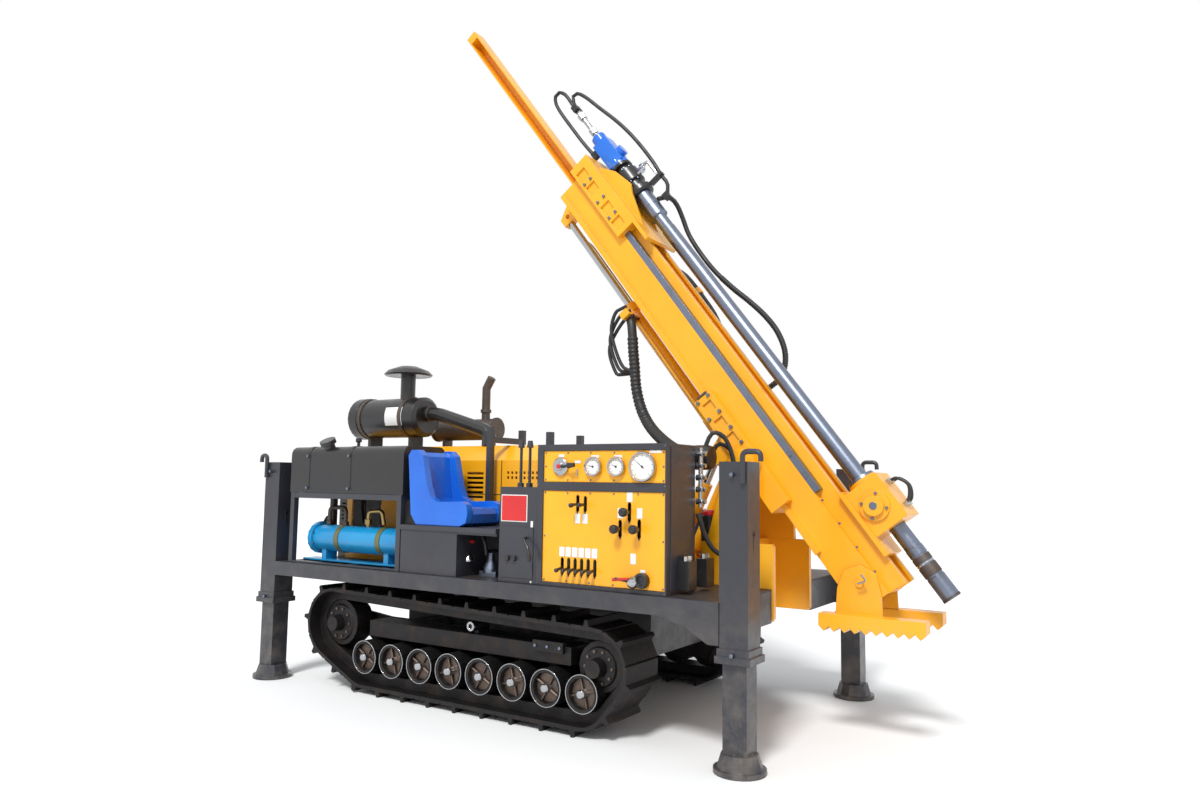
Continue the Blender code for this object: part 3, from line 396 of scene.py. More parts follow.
def enamel(name, colour, shade, rough=0.34, wear=0.5, dust=(0.30, 0.25, 0.19), under=(0.16, 0.13, 0.11),
           coat=0.25):
    """Sprayed enamel: faint clouding, rubbed edges, dust that gathers low down, orange peel."""
    made = Shader(name)
    clouds = made.noise(2.2, 5.0)
    colours = made.mixed(made.ramp(clouds, 0.35, 0.70), colour, shade)
    edge, rounded = made.edges()
    patches = made.ramp(made.noise(26.0, 6.0, 0.7), 0.56, 0.70)
    worn = made.times(made.times(edge, patches), wear)
    colours = made.mixed(worn, colours, under)
    low = made.ramp(made.height(), 0.9, 0.05)
    grime = made.times(made.times(low, made.ramp(made.noise(9.0, 8.0, 0.65), 0.40, 0.75)), 0.45)
    colours = made.mixed(grime, colours, dust)
    made.set("Base Color", colours)
    made.set("Roughness", made.ramp(made.noise(14.0, 5.0), 0.3, 0.7, rough - 0.06, rough + 0.12))
    made.set("Coat Weight", coat)
    made.set("Coat Roughness", 0.18)
    made.bump(made.noise(260.0, 2.0), 0.05, 0.0006, rounded)
    return made.material


def bare_metal(name, colour, rough, stretch=None, stain=(0.10, 0.07, 0.05), stained=0.3):
    """Ground or worn metal with fine scratches and patches of tarnish."""
    made = Shader(name)
    rounded = made.edges(0.003)[1]
    patches = made.times(made.ramp(made.noise(11.0, 7.0, 0.65), 0.48, 0.72), stained)
    made.set("Base Color", made.mixed(patches, colour, stain))
    made.set("Metallic", 1.0)
    scratches = made.noise(70.0, 4.0, 0.6, stretch)
    made.set("Roughness", made.ramp(scratches, 0.3, 0.7, rough - 0.07, rough + 0.10))
    made.bump(made.noise(180.0, 3.0, 0.6, stretch), 0.10, 0.0006, rounded)
    return made.material


def set_stage():
    """White surroundings, soft fill, a sun, and the floor, which isn't part of the machine."""
    scene = bpy.context.scene
    scene.view_settings.view_transform = "Standard"
    world = bpy.data.worlds.new("world")
    scene.world = world
    world.use_nodes = True
    tree = world.node_tree
    tree.nodes.clear()
    seen = tree.nodes.new("ShaderNodeBackground")
    seen.inputs["Color"].default_value = (1, 1, 1, 1)
    light = tree.nodes.new("ShaderNodeBackground")
    light.inputs["Color"].default_value = (0.93, 0.96, 1.0, 1)
    light.inputs["Strength"].default_value = FILL_STRENGTH
    path = tree.nodes.new("ShaderNodeLightPath")
    either = tree.nodes.new("ShaderNodeMath")
    either.operation = "MAXIMUM"
    tree.links.new(path.outputs["Is Camera Ray"], either.inputs[0])
    tree.links.new(path.outputs["Is Transmission Ray"], either.inputs[1])
    also = tree.nodes.new("ShaderNodeMath")
    also.operation = "MAXIMUM"
    tree.links.new(either.outputs[0], also.inputs[0])
    tree.links.new(path.outputs["Is Glossy Ray"], also.inputs[1])
    mix = tree.nodes.new("ShaderNodeMixShader")
    output = tree.nodes.new("ShaderNodeOutputWorld")
    tree.links.new(also.outputs[0], mix.inputs["Fac"])
    tree.links.new(light.outputs[0], mix.inputs[1])
    tree.links.new(seen.outputs[0], mix.inputs[2])
    tree.links.new(mix.outputs[0], output.inputs["Surface"])

    sun = bpy.data.lights.new("key", "SUN")
    sun.energy = KEY_STRENGTH
    sun.angle = math.radians(12)
    key = bpy.data.objects.new("key", sun)
    key.rotation_euler = (math.radians(38), math.radians(16), math.radians(-8))
    scene.collection.objects.link(key)

    mesh = bpy.data.meshes.new("floor")
    shape = bmesh.new()
    bmesh.ops.create_grid(shape, x_segments=1, y_segments=1, size=FLOOR_SIZE / 2)
    shape.to_mesh(mesh)
    shape.free()
    floor = bpy.data.objects.new("floor", mesh)
    floor.location.z = -0.001
    scene.collection.objects.link(floor)
    made = bpy.data.materials.new("floor")
    made.use_nodes = True
    tree = made.node_tree
    plain = tree.nodes["Principled BSDF"]
    plain.inputs["Base Color"].default_value = (*FLOOR_COLOUR, 1)
    plain.inputs["Roughness"].default_value = 0.9
    plain.inputs["Specular IOR Level"].default_value = 0.1
    mesh.materials.append(made)


# Finishes

AMBER = enamel("amber_enamel", (0.92, 0.43, 0.008), (0.86, 0.36, 0.005))
CHARCOAL = enamel("charcoal_enamel", (0.030, 0.031, 0.040), (0.020, 0.020, 0.027), 0.40)
BLACK = enamel("black_enamel", (0.010, 0.010, 0.012), (0.016, 0.015, 0.015), 0.34)
BLUE = enamel("blue_enamel", (0.008, 0.15, 0.66), (0.006, 0.11, 0.55), 0.24)
CYAN = enamel("cyan_enamel", (0.008, 0.27, 0.55), (0.006, 0.20, 0.46), 0.30)
RED = enamel("red_enamel", (0.60, 0.012, 0.014), (0.50, 0.010, 0.012), 0.30)
WHITE = enamel("white_label", (0.80, 0.80, 0.78), (0.74, 0.74, 0.72), 0.45, wear=0.1)
OLIVE = enamel("olive_enamel", (0.13, 0.13, 0.05), (0.10, 0.10, 0.04), 0.40)
RUBBER = enamel("hose_rubber", (0.012, 0.012, 0.013), (0.020, 0.020, 0.021), 0.46, wear=0.0, coat=0.0)
STEEL = bare_metal("ground_steel", (0.20, 0.23, 0.30), 0.34)
CHROME = bare_metal("hard_chrome", (0.46, 0.47, 0.49), 0.16, stained=0.12)
BRASS = bare_metal("dull_brass", (0.42, 0.30, 0.12), 0.36, stained=0.3)
WORN = bare_metal("dull_iron", (0.13, 0.11, 0.10), 0.55, stained=0.6)
DISH = bare_metal("roller_dish", (0.17, 0.13, 0.11), 0.50, stained=0.5)
TRACK = bare_metal("track_iron", (0.045, 0.043, 0.045), 0.55, stained=0.5)

# Each finish of this script, and the record's slot that it follows
FINISH = {
    "amber": (AMBER, "amber_paint"),
    "charcoal": (CHARCOAL, "charcoal_paint"),
    "black": (BLACK, "black_paint"),
    "steel": (STEEL, "bare_steel"),
    "chrome": (CHROME, "chrome"),
    "blue": (BLUE, "blue_paint"),
    "cyan": (CYAN, "cyan_paint"),
    "worn": (WORN, "worn_steel"),
    "dish": (DISH, "worn_steel"),
    "track": (TRACK, "track_iron"),
    "shell": (BLUE, "seat_shell"),
    "red": (RED, None),
    "white": (WHITE, None),
    "olive": (OLIVE, None),
    "brass": (BRASS, None),
    "rubber": (RUBBER, None),
}
SLOT_FINISH = {slot: finish for finish, slot in FINISH.values() if slot and finish is not DISH}


def finish_nodes():
    """Gives each CAD node the finish of its slot in the record."""
    for row in frame["record"]["subparts"]:
        thing = NODES[row["node"]]
        thing.data.materials.clear()
        thing.data.materials.append(SLOT_FINISH[row["material_slot"]])


def dressed(shape, name, paint):
    """The shape with its name and finish, smooth apart from its sharp edges."""
    finish, slot = FINISH[paint]
    shape.name = name
    shape.data.name = name
    shape.data.materials.clear()
    shape.data.materials.append(finish)
    shape.data.shade_smooth()
    shape.data.set_sharp_from_angle(angle=math.radians(30))
    return shape


def piece(name, shape, paint, place):
    """Puts the shape at its place (a body, a matrix to the row frame), for the CAD node of its name."""
    body, matrix = place
    shape.data.transform(matrix)
    dressed(shape, name + "_form" if name in NODES else name, paint)
    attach(shape, body)
    if name in NODES:
        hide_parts(name)
    return shape


class Form:
    """Small parts of one finish on one body, gathered into one mesh."""

    def __init__(self, name, paint, place):
        self.name = name
        self.paint = paint
        self.place = place
        self.shape = bmesh.new()

    def add(self, *things):
        for thing in things:
            mesh = thing.data
            self.shape.from_mesh(mesh)
            bpy.data.objects.remove(thing)
            bpy.data.meshes.remove(mesh)

    def done(self):
        return piece(self.name, from_bmesh(self.shape), self.paint, self.place)


def gathered(name, paint, place, *things):
    """A Form of things that are all made at once."""
    form = Form(name, paint, place)
    form.add(*things)
    return form.done()


def from_bmesh(shape):
    """A working object from a bmesh, not yet in its place in the tree."""
    mesh = bpy.data.meshes.new("work")
    shape.to_mesh(mesh)
    shape.free()
    made = bpy.data.objects.new("work", mesh)
    RIG.objects.link(made)
    return made


def from_curve(curve, matrix=None):
    """The closed mesh of a curve object, with its caps welded."""
    source = bpy.data.objects.new("curve", curve)
    RIG.objects.link(source)
    if matrix:
        source.matrix_world = matrix
    bpy.context.view_layer.update()
    graph = bpy.context.evaluated_depsgraph_get()
    mesh = bpy.data.meshes.new_from_object(source.evaluated_get(graph))
    mesh.transform(source.matrix_world)
    bpy.data.objects.remove(source)
    bpy.data.curves.remove(curve)
    shape = bmesh.new()
    shape.from_mesh(mesh)
    bpy.data.meshes.remove(mesh)
    bmesh.ops.remove_doubles(shape, verts=shape.verts, dist=1e-5)
    bmesh.ops.recalc_face_normals(shape, faces=shape.faces)
    return from_bmesh(shape)


def box(low, high):
    low = Vector(low)
    high = Vector(high)
    shape = bmesh.new()
    place = Matrix.Translation((low + high) / 2) @ Matrix.Diagonal((*(high - low), 1))
    bmesh.ops.create_cube(shape, size=1, matrix=place)
    return from_bmesh(shape)


def bar(start, end, radius, sides=16, end_radius=None):
    """A round bar or cone between two points."""
    start = Vector(start)
    end = Vector(end)
    axis = end - start
    turn = Vector((0, 0, 1)).rotation_difference(axis).to_matrix().to_4x4()
    place = Matrix.Translation((start + end) / 2) @ turn
    shape = bmesh.new()
    bmesh.ops.create_cone(
        shape,
        cap_ends=True,
        segments=sides,
        radius1=radius,
        radius2=radius if end_radius is None else end_radius,
        depth=axis.length,
        matrix=place,
    )
    return from_bmesh(shape)


# A side outline lies in XZ and is thick along Y, a plan in XY along Z, an end outline in YZ along X.
SIDE = Matrix(((1, 0, 0, 0), (0, 0, -1, 0), (0, 1, 0, 0), (0, 0, 0, 1)))
PLAN = Matrix.Identity(4)
END = Matrix(((0, 0, 1, 0), (1, 0, 0, 0), (0, 1, 0, 0), (0, 0, 0, 1)))
THICK_ALONG = {
    "side": (SIDE, Vector((0, 1, 0))),
    "plan": (PLAN, Vector((0, 0, 1))),
    "end": (END, Vector((1, 0, 0))),
}


def plate(outline, low, high, view="side", holes=()):
    """A flat outline, with holes, extruded from low to high across its view."""
    curve = bpy.data.curves.new("outline", "CURVE")
    curve.dimensions = "2D"
    curve.fill_mode = "BOTH"
    curve.extrude = (high - low) / 2
    for loop in (outline, *holes):
        spline = curve.splines.new("POLY")
        spline.points.add(len(loop) - 1)
        for point, (u, v) in zip(spline.points, loop):
            point.co = (u, v, 0, 1)
        spline.use_cyclic_u = True
    turn, across = THICK_ALONG[view]
    return from_curve(curve, Matrix.Translation(across * (low + high) / 2) @ turn)


def ring_points(centre, radius, start=0.0, end=360.0, count=16):
    """Points on an arc of a circle, angles in degrees. A full circle leaves out its last point."""
    full = abs(end - start) >= 360
    steps = count if full else count - 1
    angles = [math.radians(start + (end - start) * i / steps) for i in range(count)]
    return [(centre[0] + radius * math.cos(a), centre[1] + radius * math.sin(a)) for a in angles]


def turned(profile, base, axis=(0, 0, 1), sides=16):
    """A profile of (radius, height) from top to bottom, turned round an axis through base."""
    shape = bmesh.new()
    points = [shape.verts.new((radius, 0, height)) for radius, height in profile]
    for first, second in zip(points, points[1:]):
        shape.edges.new((first, second))
    made = from_bmesh(shape)
    screw = made.modifiers.new("turn", "SCREW")
    screw.axis = "Z"
    screw.steps = sides
    screw.render_steps = sides
    screw.use_merge_vertices = True
    screw.merge_threshold = 0.0001
    solid = settled(made)
    turn = Vector((0, 0, 1)).rotation_difference(Vector(axis)).to_matrix().to_4x4()
    solid.data.transform(Matrix.Translation(base) @ turn)
    return solid


def band(inner, outer, low, high, ease, place, axis=(0, 0, 1), sides=28):
    """A ring round an axis, flat inside, with its two outer edges eased."""
    profile = [(inner, high), (outer, high - ease), (outer, low + ease), (inner, low), (inner, high)]
    return turned(profile, Vector(place), axis, sides)


def pipe(points, radius, resolution=2, rounding=0.0):
    """A round tube through the points, its corners rounded by short arcs."""
    path = [Vector(p) for p in points]
    if rounding:
        smooth = [path[0]]
        for before, corner, after in zip(path, path[1:], path[2:]):
            start = corner + (before - corner).normalized() * rounding
            end = corner + (after - corner).normalized() * rounding
            for share in (0.0, 0.25, 0.5, 0.75, 1.0):
                first = start.lerp(corner, share)
                smooth.append(first.lerp(corner.lerp(end, share), share))
        path = smooth + [path[-1]]
    curve = bpy.data.curves.new("route", "CURVE")
    curve.dimensions = "3D"
    curve.bevel_depth = radius
    curve.bevel_resolution = resolution
    curve.use_fill_caps = True
    spline = curve.splines.new("POLY")
    spline.points.add(len(path) - 1)
    for point, place in zip(spline.points, path):
        point.co = (*place, 1)
    return from_curve(curve)


def smooth(points, spacing):
    """Points about this far apart on a smooth curve through the route, its end stretches straight."""
    path = [Vector(p) for p in points]
    slopes = [(after - before) / 2 for before, after in zip(path, path[2:])]
    slopes = [path[1] - path[0]] * 2 + slopes[1:-1] + [path[-1] - path[-2]] * 2
    made = []
    for start, end, leave, arrive in zip(path, path[1:], slopes, slopes[1:]):
        steps = max(1, round((end - start).length / spacing))
        for step in range(steps):
            t = step / steps
            made.append(start * (2 * t ** 3 - 3 * t ** 2 + 1) + leave * (t ** 3 - 2 * t ** 2 + t)
                        + end * (3 * t ** 2 - 2 * t ** 3) + arrive * (t ** 3 - t ** 2))
    return made + [path[-1]]


def settled(thing):
    """The object with its modifiers applied."""
    bpy.context.view_layer.update()
    graph = bpy.context.evaluated_depsgraph_get()
    mesh = bpy.data.meshes.new_from_object(thing.evaluated_get(graph))
    thing.modifiers.clear()
    old = thing.data
    thing.data = mesh
    bpy.data.meshes.remove(old)
    return thing


def combined(first, others, operation, solver="EXACT"):
    """The first shape joined with the others, or cut by them. The others go."""
    for other in others:
        step = first.modifiers.new(operation.lower(), "BOOLEAN")
        step.operation = operation
        step.object = other
        step.solver = solver
    made = settled(first)
    for other in others:
        bpy.data.objects.remove(other)
    return made


def fused(*shapes):
    return combined(shapes[0], shapes[1:], "UNION")


def carved(shape, *cutters):
    return combined(shape, cutters, "DIFFERENCE")


def pair(side, near, far):
    """The low and high Y of a slab on the given side, from its distances to the middle."""
    return (near, far) if side > 0 else (-far, -near)


def slab(side, x_span, y_span, z_span):
    """A box on the given side, its Y span given as distances to the middle."""
    y_low, y_high = pair(side, *y_span)
    return box((x_span[0], y_low, z_span[0]), (x_span[1], y_high, z_span[1]))


# Deck and chassis

BEAM_FRONT_X = LEG_FRONT_X - SLEEVE_SIZE / 2 - SEAT_GAP
BEAM_REAR_X = LEG_REAR_X + SLEEVE_SIZE / 2 + SEAT_GAP
BAY_HALF = SUPPORT_HALF + SEAT_GAP
DECK_LOW = DECK_TOP - BEAM_HIGH
FLOOR = DECK_TOP + SEAT_GAP
CROSS_LOW = DECK_LOW + 0.015
CROSS_TOP = DECK_TOP - DECK_PLATE - SEAT_GAP
CROSS_WIDE = 0.060
FRAME_INNER_Y = TRACK_MID_Y - CHAIN_WIDTH / 2 - FRAME_GAP


def make_deck(parent):
    """Side beams that deepen to a gusset at the front legs, cross members, and rails beside the front bay."""
    inner = DECK_HALF - BEAM_WIDE + BOOLEAN_OVERLAP
    # Distance back from the front leg, drop below the beam
    gusset = ((0.320, 0.0), (0.175, 0.037), (0.055, 0.106), (0.0, 0.106))
    outline = [(BEAM_REAR_X, DECK_LOW)]
    outline += [(BEAM_FRONT_X - back, DECK_LOW - drop) for back, drop in gusset]
    outline += [(BEAM_FRONT_X, DECK_TOP), (BEAM_REAR_X, DECK_TOP)]
    shapes = []
    for side in (-1, 1):
        shapes.append(plate(outline, *pair(side, DECK_HALF - BEAM_WIDE, DECK_HALF)))
        shapes.append(slab(side, (BAY_X - 0.09, BEAM_FRONT_X - 0.001), (BAY_HALF, BAY_HALF + CROSS_WIDE),
                           (CROSS_LOW - 0.003, CROSS_TOP)))
        shapes.append(slab(side, (BEAM_FRONT_X - 0.060, BEAM_FRONT_X - 0.0005), (BAY_HALF + 0.001, inner),
                           (0.575, CROSS_TOP - 0.001)))
    for x in (BEAM_REAR_X + 0.001, *CROSS_X, BAY_X - 0.100):
        shapes.append(box((x, -inner, CROSS_LOW), (x + CROSS_WIDE, inner, CROSS_TOP - 0.0005)))
    piece("deck", fused(*shapes), "charcoal", parent)
    half = DECK_HALF - BEAM_WIDE - SEAT_GAP
    floor = [(BEAM_REAR_X, -half), (BEAM_FRONT_X, -half), (BEAM_FRONT_X, -BAY_HALF), (BAY_X, -BAY_HALF),
             (BAY_X, BAY_HALF), (BEAM_FRONT_X, BAY_HALF), (BEAM_FRONT_X, half), (BEAM_REAR_X, half)]
    piece("deck_plate", plate(floor, DECK_TOP - DECK_PLATE, DECK_TOP, "plan"), "worn", parent)


# Tracks

CHAIN_TOP = LUG_HIGH + SHOE_THICK + LINK_HIGH
ARC_STEP = math.radians(15)
# A belt drawn as chords of this step clears the round wheel inside it.
CHORD_GROWTH = 1 / math.cos(ARC_STEP / 2)
ROLLER_Z = CHAIN_TOP + (ROLLER_R + SEAT_GAP) * CHORD_GROWTH


def belt_path(circles):
    """The taut loop round circles (x, z, radius), as (point, outward normal, distance) along it."""
    joined = []
    count = len(circles)
    for index in range(count):
        x1, z1, r1 = circles[index]
        x2, z2, r2 = circles[(index + 1) % count]
        span = math.hypot(x2 - x1, z2 - z1)
        heading = math.atan2(z2 - z1, x2 - x1)
        joined.append(heading - math.pi / 2 + math.asin((r1 - r2) / span))
    path = []
    for index in range(count):
        x, z, radius = circles[index]
        start = joined[index - 1]
        sweep = (joined[index] - start) % (2 * math.pi)
        if sweep > 1.9 * math.pi:
            sweep = 0.0
        steps = max(1, math.ceil(sweep / ARC_STEP))
        for step in range(steps + 1):
            angle = start + sweep * step / steps
            path.append((x + radius * math.cos(angle), z + radius * math.sin(angle), angle))
    return path


def walk(path, distance):
    """The point and outward angle this far along a closed path."""
    count = len(path)
    for index in range(count):
        x1, z1, a1 = path[index]
        x2, z2, a2 = path[(index + 1) % count]
        span = math.hypot(x2 - x1, z2 - z1)
        if distance <= span and span > 0:
            share = distance / span
            turn = (a2 - a1 + math.pi) % (2 * math.pi) - math.pi
            return x1 + (x2 - x1) * share, z1 + (z2 - z1) * share, a1 + turn * share
        distance -= span
    return path[0]


def path_length(path):
    return sum(math.dist(a[:2], b[:2]) for a, b in zip(path, path[1:] + path[:1]))


def make_track_loop(side, parent):
    """Shoes with lugs across the full width, on a narrower chain of links."""
    wheels = ((SPROCKET_X, SPROCKET_Z, SPROCKET_R), (FIRST_ROLLER_X, ROLLER_Z, ROLLER_R),
              (LAST_ROLLER_X, ROLLER_Z, ROLLER_R), (IDLER_X, IDLER_Z, IDLER_R))
    circles = [(x, z, (radius + SEAT_GAP) * CHORD_GROWTH) for x, z, radius in wheels]
    inner = belt_path(circles)
    shoe_path = belt_path([(x, z, r + LINK_HIGH) for x, z, r in circles])
    pitch = path_length(shoe_path) / SHOE_COUNT
    outline = []
    # Each shoe: share of the pitch along it, height over the chain
    shoe = ((0.0, SHOE_THICK * 0.45), (0.03, SHOE_THICK), (0.42, SHOE_THICK), (0.46, SHOE_THICK + LUG_HIGH),
            (0.54, SHOE_THICK + LUG_HIGH), (0.58, SHOE_THICK), (0.97, SHOE_THICK))
    for number in range(SHOE_COUNT):
        for along, height in shoe:
            x, z, angle = walk(shoe_path, (number + along) * pitch)
            outline.append((x + height * math.cos(angle), z + height * math.sin(angle)))
    under = [(x - 0.004 * math.cos(a), z - 0.004 * math.sin(a)) for x, z, a in shoe_path]
    links_out = [(x + 0.004 * math.cos(a), z + 0.004 * math.sin(a)) for x, z, a in shoe_path]
    links_in = [(x, z) for x, z, a in inner]
    middle = side * TRACK_MID_Y
    shoes = plate(outline, middle - SHOE_WIDTH / 2, middle + SHOE_WIDTH / 2, holes=(under,))
    links = plate(links_out, middle - CHAIN_WIDTH / 2, middle + CHAIN_WIDTH / 2, holes=(links_in,))
    name = "track_loop_" + ("left" if side > 0 else "right")
    # Two rings of many near-parallel faces: the exact solver leaves gaps in their union.
    piece(name, combined(shoes, (links,), "UNION", "MANIFOLD"), "track", parent)


def make_track_frame(side, parent):
    """Inner plate and beam with dished rollers, sprocket, idler, carrier roller and tensioner's box."""
    middle = side * TRACK_MID_Y
    inner = side * FRAME_INNER_Y
    outline = [
        (SPROCKET_X, SPROCKET_Z - 0.06), (-0.85, 0.170), (0.780, 0.170), (IDLER_X + 0.04, IDLER_Z - 0.03),
        (IDLER_X + 0.04, IDLER_Z + 0.03), (0.60, 0.420), (-0.85, 0.420), (SPROCKET_X, SPROCKET_Z + 0.06),
    ]
    shapes = [plate(outline, *sorted((inner - side * FRAME_PLATE, inner)))]
    y_low, y_high = sorted((inner - side * 0.010, middle + side * 0.060))
    shapes.append(box((-0.860, y_low, FRAME_LOW), (0.640, y_high, FRAME_HIGH)))
    y_low, y_high = sorted((middle + side * 0.055, middle + side * 0.085))
    shapes.append(box((0.407, y_low, 0.384), (0.603, y_high, 0.440)))
    y_low, y_high = sorted((middle - side * 0.070, middle + side * 0.020))
    shapes.append(box((CARRIER_ROLLER_X - 0.016, y_low, FRAME_HIGH - 0.01),
                      (CARRIER_ROLLER_X + 0.016, y_high, CARRIER_ROLLER_Z + 0.005)))
    shapes.append(bar((CARRIER_ROLLER_X, middle - side * 0.060, CARRIER_ROLLER_Z),
                      (CARRIER_ROLLER_X, middle + side * 0.070, CARRIER_ROLLER_Z), CARRIER_ROLLER_R, 10))
    # Radius of the wheel's face, distance outward from the middle of the track
    dish = [(0, 0.138), (0.030, 0.100), (0.074, 0.097), (0.081, 0.132), (ROLLER_R, 0.132), (ROLLER_R, -0.070),
            (0, -0.105)]
    pitch = (LAST_ROLLER_X - FIRST_ROLLER_X) / (ROLLER_COUNT - 1)
    for index in range(ROLLER_COUNT):
        x = FIRST_ROLLER_X + pitch * index
        shapes.append(turned(dish, (x, middle, ROLLER_Z), (0, side, 0), 12))
    for x, z, radius in ((SPROCKET_X, SPROCKET_Z, SPROCKET_R), (IDLER_X, IDLER_Z, IDLER_R)):
        wheel = [(0, 0.150), (0.045, 0.150), (0.052, 0.090), (radius - 0.034, 0.086), (radius - 0.026, 0.074),
                 (radius, 0.070), (radius, -0.060), (0.050, -0.105), (0, -0.105)]
        shapes.append(turned(wheel, (x, middle, z), (0, side, 0), 18))
    name = "track_frame_" + ("left" if side > 0 else "right")
    piece(name, fused(*shapes), "track", parent)


# Legs

LEGS = {
    # name: (along, across)
    "front_right": (1, -1),
    "front_left": (1, 1),
    "rear_right": (-1, -1),
    "rear_left": (-1, 1),
}


def leg_place(name):
    """The middle of a leg, along and across the machine."""
    along, across = LEGS[name]
    return LEG_FRONT_X if along > 0 else LEG_REAR_X, across * LEG_Y


def square(half):
    return [(-half, -half), (half, -half), (half, half), (-half, half)]


def shifted(points, x, y):
    return [(u + x, v + y) for u, v in points]


# Mast

def make_slide_cylinder(carrier, mast):
    """Barrel held at the carrier, with an oil pipe beside it, and the rod up to the mast's lug."""
    top = SLIDE_BARREL_TOP
    out = SLIDE_BARREL_R + 0.016
    barrel = bar((SLIDE_X, 0, SLIDE_BARREL_LOW), (SLIDE_X, 0, top), SLIDE_BARREL_R, 20)
    gland = bar((SLIDE_X, 0, top - 0.05), (SLIDE_X, 0, top + 0.01), SLIDE_BARREL_R + 0.006, 20)
    line = pipe([(SLIDE_X, -0.02, SLIDE_BARREL_LOW + 0.15), (SLIDE_X, -out, SLIDE_BARREL_LOW + 0.15),
                 (SLIDE_X, -out, top - 0.09), (SLIDE_X, -0.02, top - 0.09)], 0.008, 1, 0.010)
    bore = bar((SLIDE_X, 0, SLIDE_BARREL_LOW + 0.08), (SLIDE_X, 0, top + 0.1), SLIDE_ROD_R + SLIDE_GAP, 20)
    eye = bar((SLIDE_X, -0.1, SLIDE_PIN_Z), (SLIDE_X, 0.1, SLIDE_PIN_Z), SLIDE_PIN_R + SLIDE_GAP, 16)
    clip = box((SLIDE_X - 0.030, TILT_HOSE_Y - TILT_HOSE_R - 0.007, TILT_HOSE_TOP + SEAT_GAP),
               (SLIDE_X + 0.030, -0.030, TILT_HOSE_TOP + 0.045))
    piece("slide_cylinder_barrel", carved(fused(barrel, gland, line, clip), bore, eye), "amber", carrier)
    rod = bar((SLIDE_X, 0, top - 0.10), (SLIDE_X, 0, SLIDE_LUG_Z - SEAT_GAP), SLIDE_ROD_R, 20)
    piece("slide_cylinder_rod", rod, "chrome", mast)


# Where the clip on the slide cylinder's barrel holds the sleeve of hoses
TILT_HOSE_TOP = 1.170
TILT_HOSE_Y = -0.140


# The arched hose beside the mast: how far off the middle, and the heights of its brackets
MAST_HOSE_Y = MAST_HALF + 0.075
MAST_HOSE_ENDS = (1.400, 0.810)


def make_mast_hoses(parent):
    """Thick hose arched along the far side of the mast between two brackets."""
    y = MAST_HOSE_Y
    near = MAST_HALF + SEAT_GAP
    route = [(0.135, y, 1.400), (0.190, y, 1.390), (0.232, y, 1.330), (0.246, y, 1.240), (0.246, y, 1.100),
             (0.240, y, 0.970), (0.218, y, 0.870), (0.180, y, 0.820), (0.135, y, 0.810)]
    shapes = [pipe(smooth(route, MAST_HOSE_R * 2), MAST_HOSE_R, 2)]
    for z in MAST_HOSE_ENDS:
        shapes.append(box((0.085, near, z - 0.036), (0.148, y + 0.034, z + 0.036)))
    piece("mast_hoses", fused(*shapes), "rubber", parent)


def make_mast(parent):
    """Box beam with back flanges and a lipped channel on its front, rails beside the channel."""
    body = box((0, -MAST_HALF, MAST_LOW), (MAST_DEEP, MAST_HALF, MAST_TOP))
    inside = box((MAST_WALL, -MAST_HALF + MAST_WALL, MAST_LOW - 0.1),
                 (MAST_DEEP - MAST_WALL, MAST_HALF - MAST_WALL, MAST_TOP + 0.1))
    lip = CHANNEL_HALF - CHANNEL_LIP
    wall = CHANNEL_HALF - CHANNEL_WALL
    under = CHANNEL_FRONT - CHANNEL_WALL
    half = [(MAST_DEEP - 0.01, CHANNEL_HALF), (CHANNEL_FRONT, CHANNEL_HALF), (CHANNEL_FRONT, lip),
            (under, lip), (under, wall), (MAST_DEEP + 0.01, wall)]
    channel = plate(half + [(x, -y) for x, y in reversed(half)], MAST_LOW, MAST_TOP, "plan")
    shapes = [body, channel]
    for side in (-1, 1):
        shapes.append(slab(side, (0.0005, FLANGE_DEEP), (MAST_HALF - 0.01, MAST_HALF + FLANGE_OUT),
                           (CARRIER_LOW - 0.30, MAST_TOP - 0.02)))
    lug = [(0.010, SLIDE_LUG_Z), (SLIDE_X - 0.040, SLIDE_LUG_Z), (SLIDE_X - 0.040, SLIDE_LUG_Z + 0.060),
           (-0.050, MAST_TOP - 0.005), (0.010, MAST_TOP - 0.005)]
    shapes.append(plate(lug, -0.030, 0.030,
                        holes=(ring_points((SLIDE_X + 0.015, SLIDE_LUG_Z + 0.045), 0.016, count=12),)))
    shapes.append(box((0.085, MAST_HALF - 0.005, 0.360), (0.148, MAST_HALF + 0.100, 0.420)))
    pin = bar((FOOT_PIN_X, -0.3, FOOT_PIN_Z), (FOOT_PIN_X, 0.3, FOOT_PIN_Z), FOOT_PIN_R + SLIDE_GAP, 20)
    piece("mast_beam", carved(fused(*shapes), inside, pin), "amber", parent)
    for side in (-1, 1):
        y_low, y_high = pair(side, MAST_HALF - RAIL_WIDE + 0.0008, MAST_HALF)
        rail = box((MAST_DEEP + SEAT_GAP, y_low, RAIL_LOW),
                   (MAST_DEEP + SEAT_GAP + RAIL_DEEP, y_high, RAIL_TOP))
        piece("front_rail_" + ("left" if side > 0 else "right"), rail, "steel", parent)


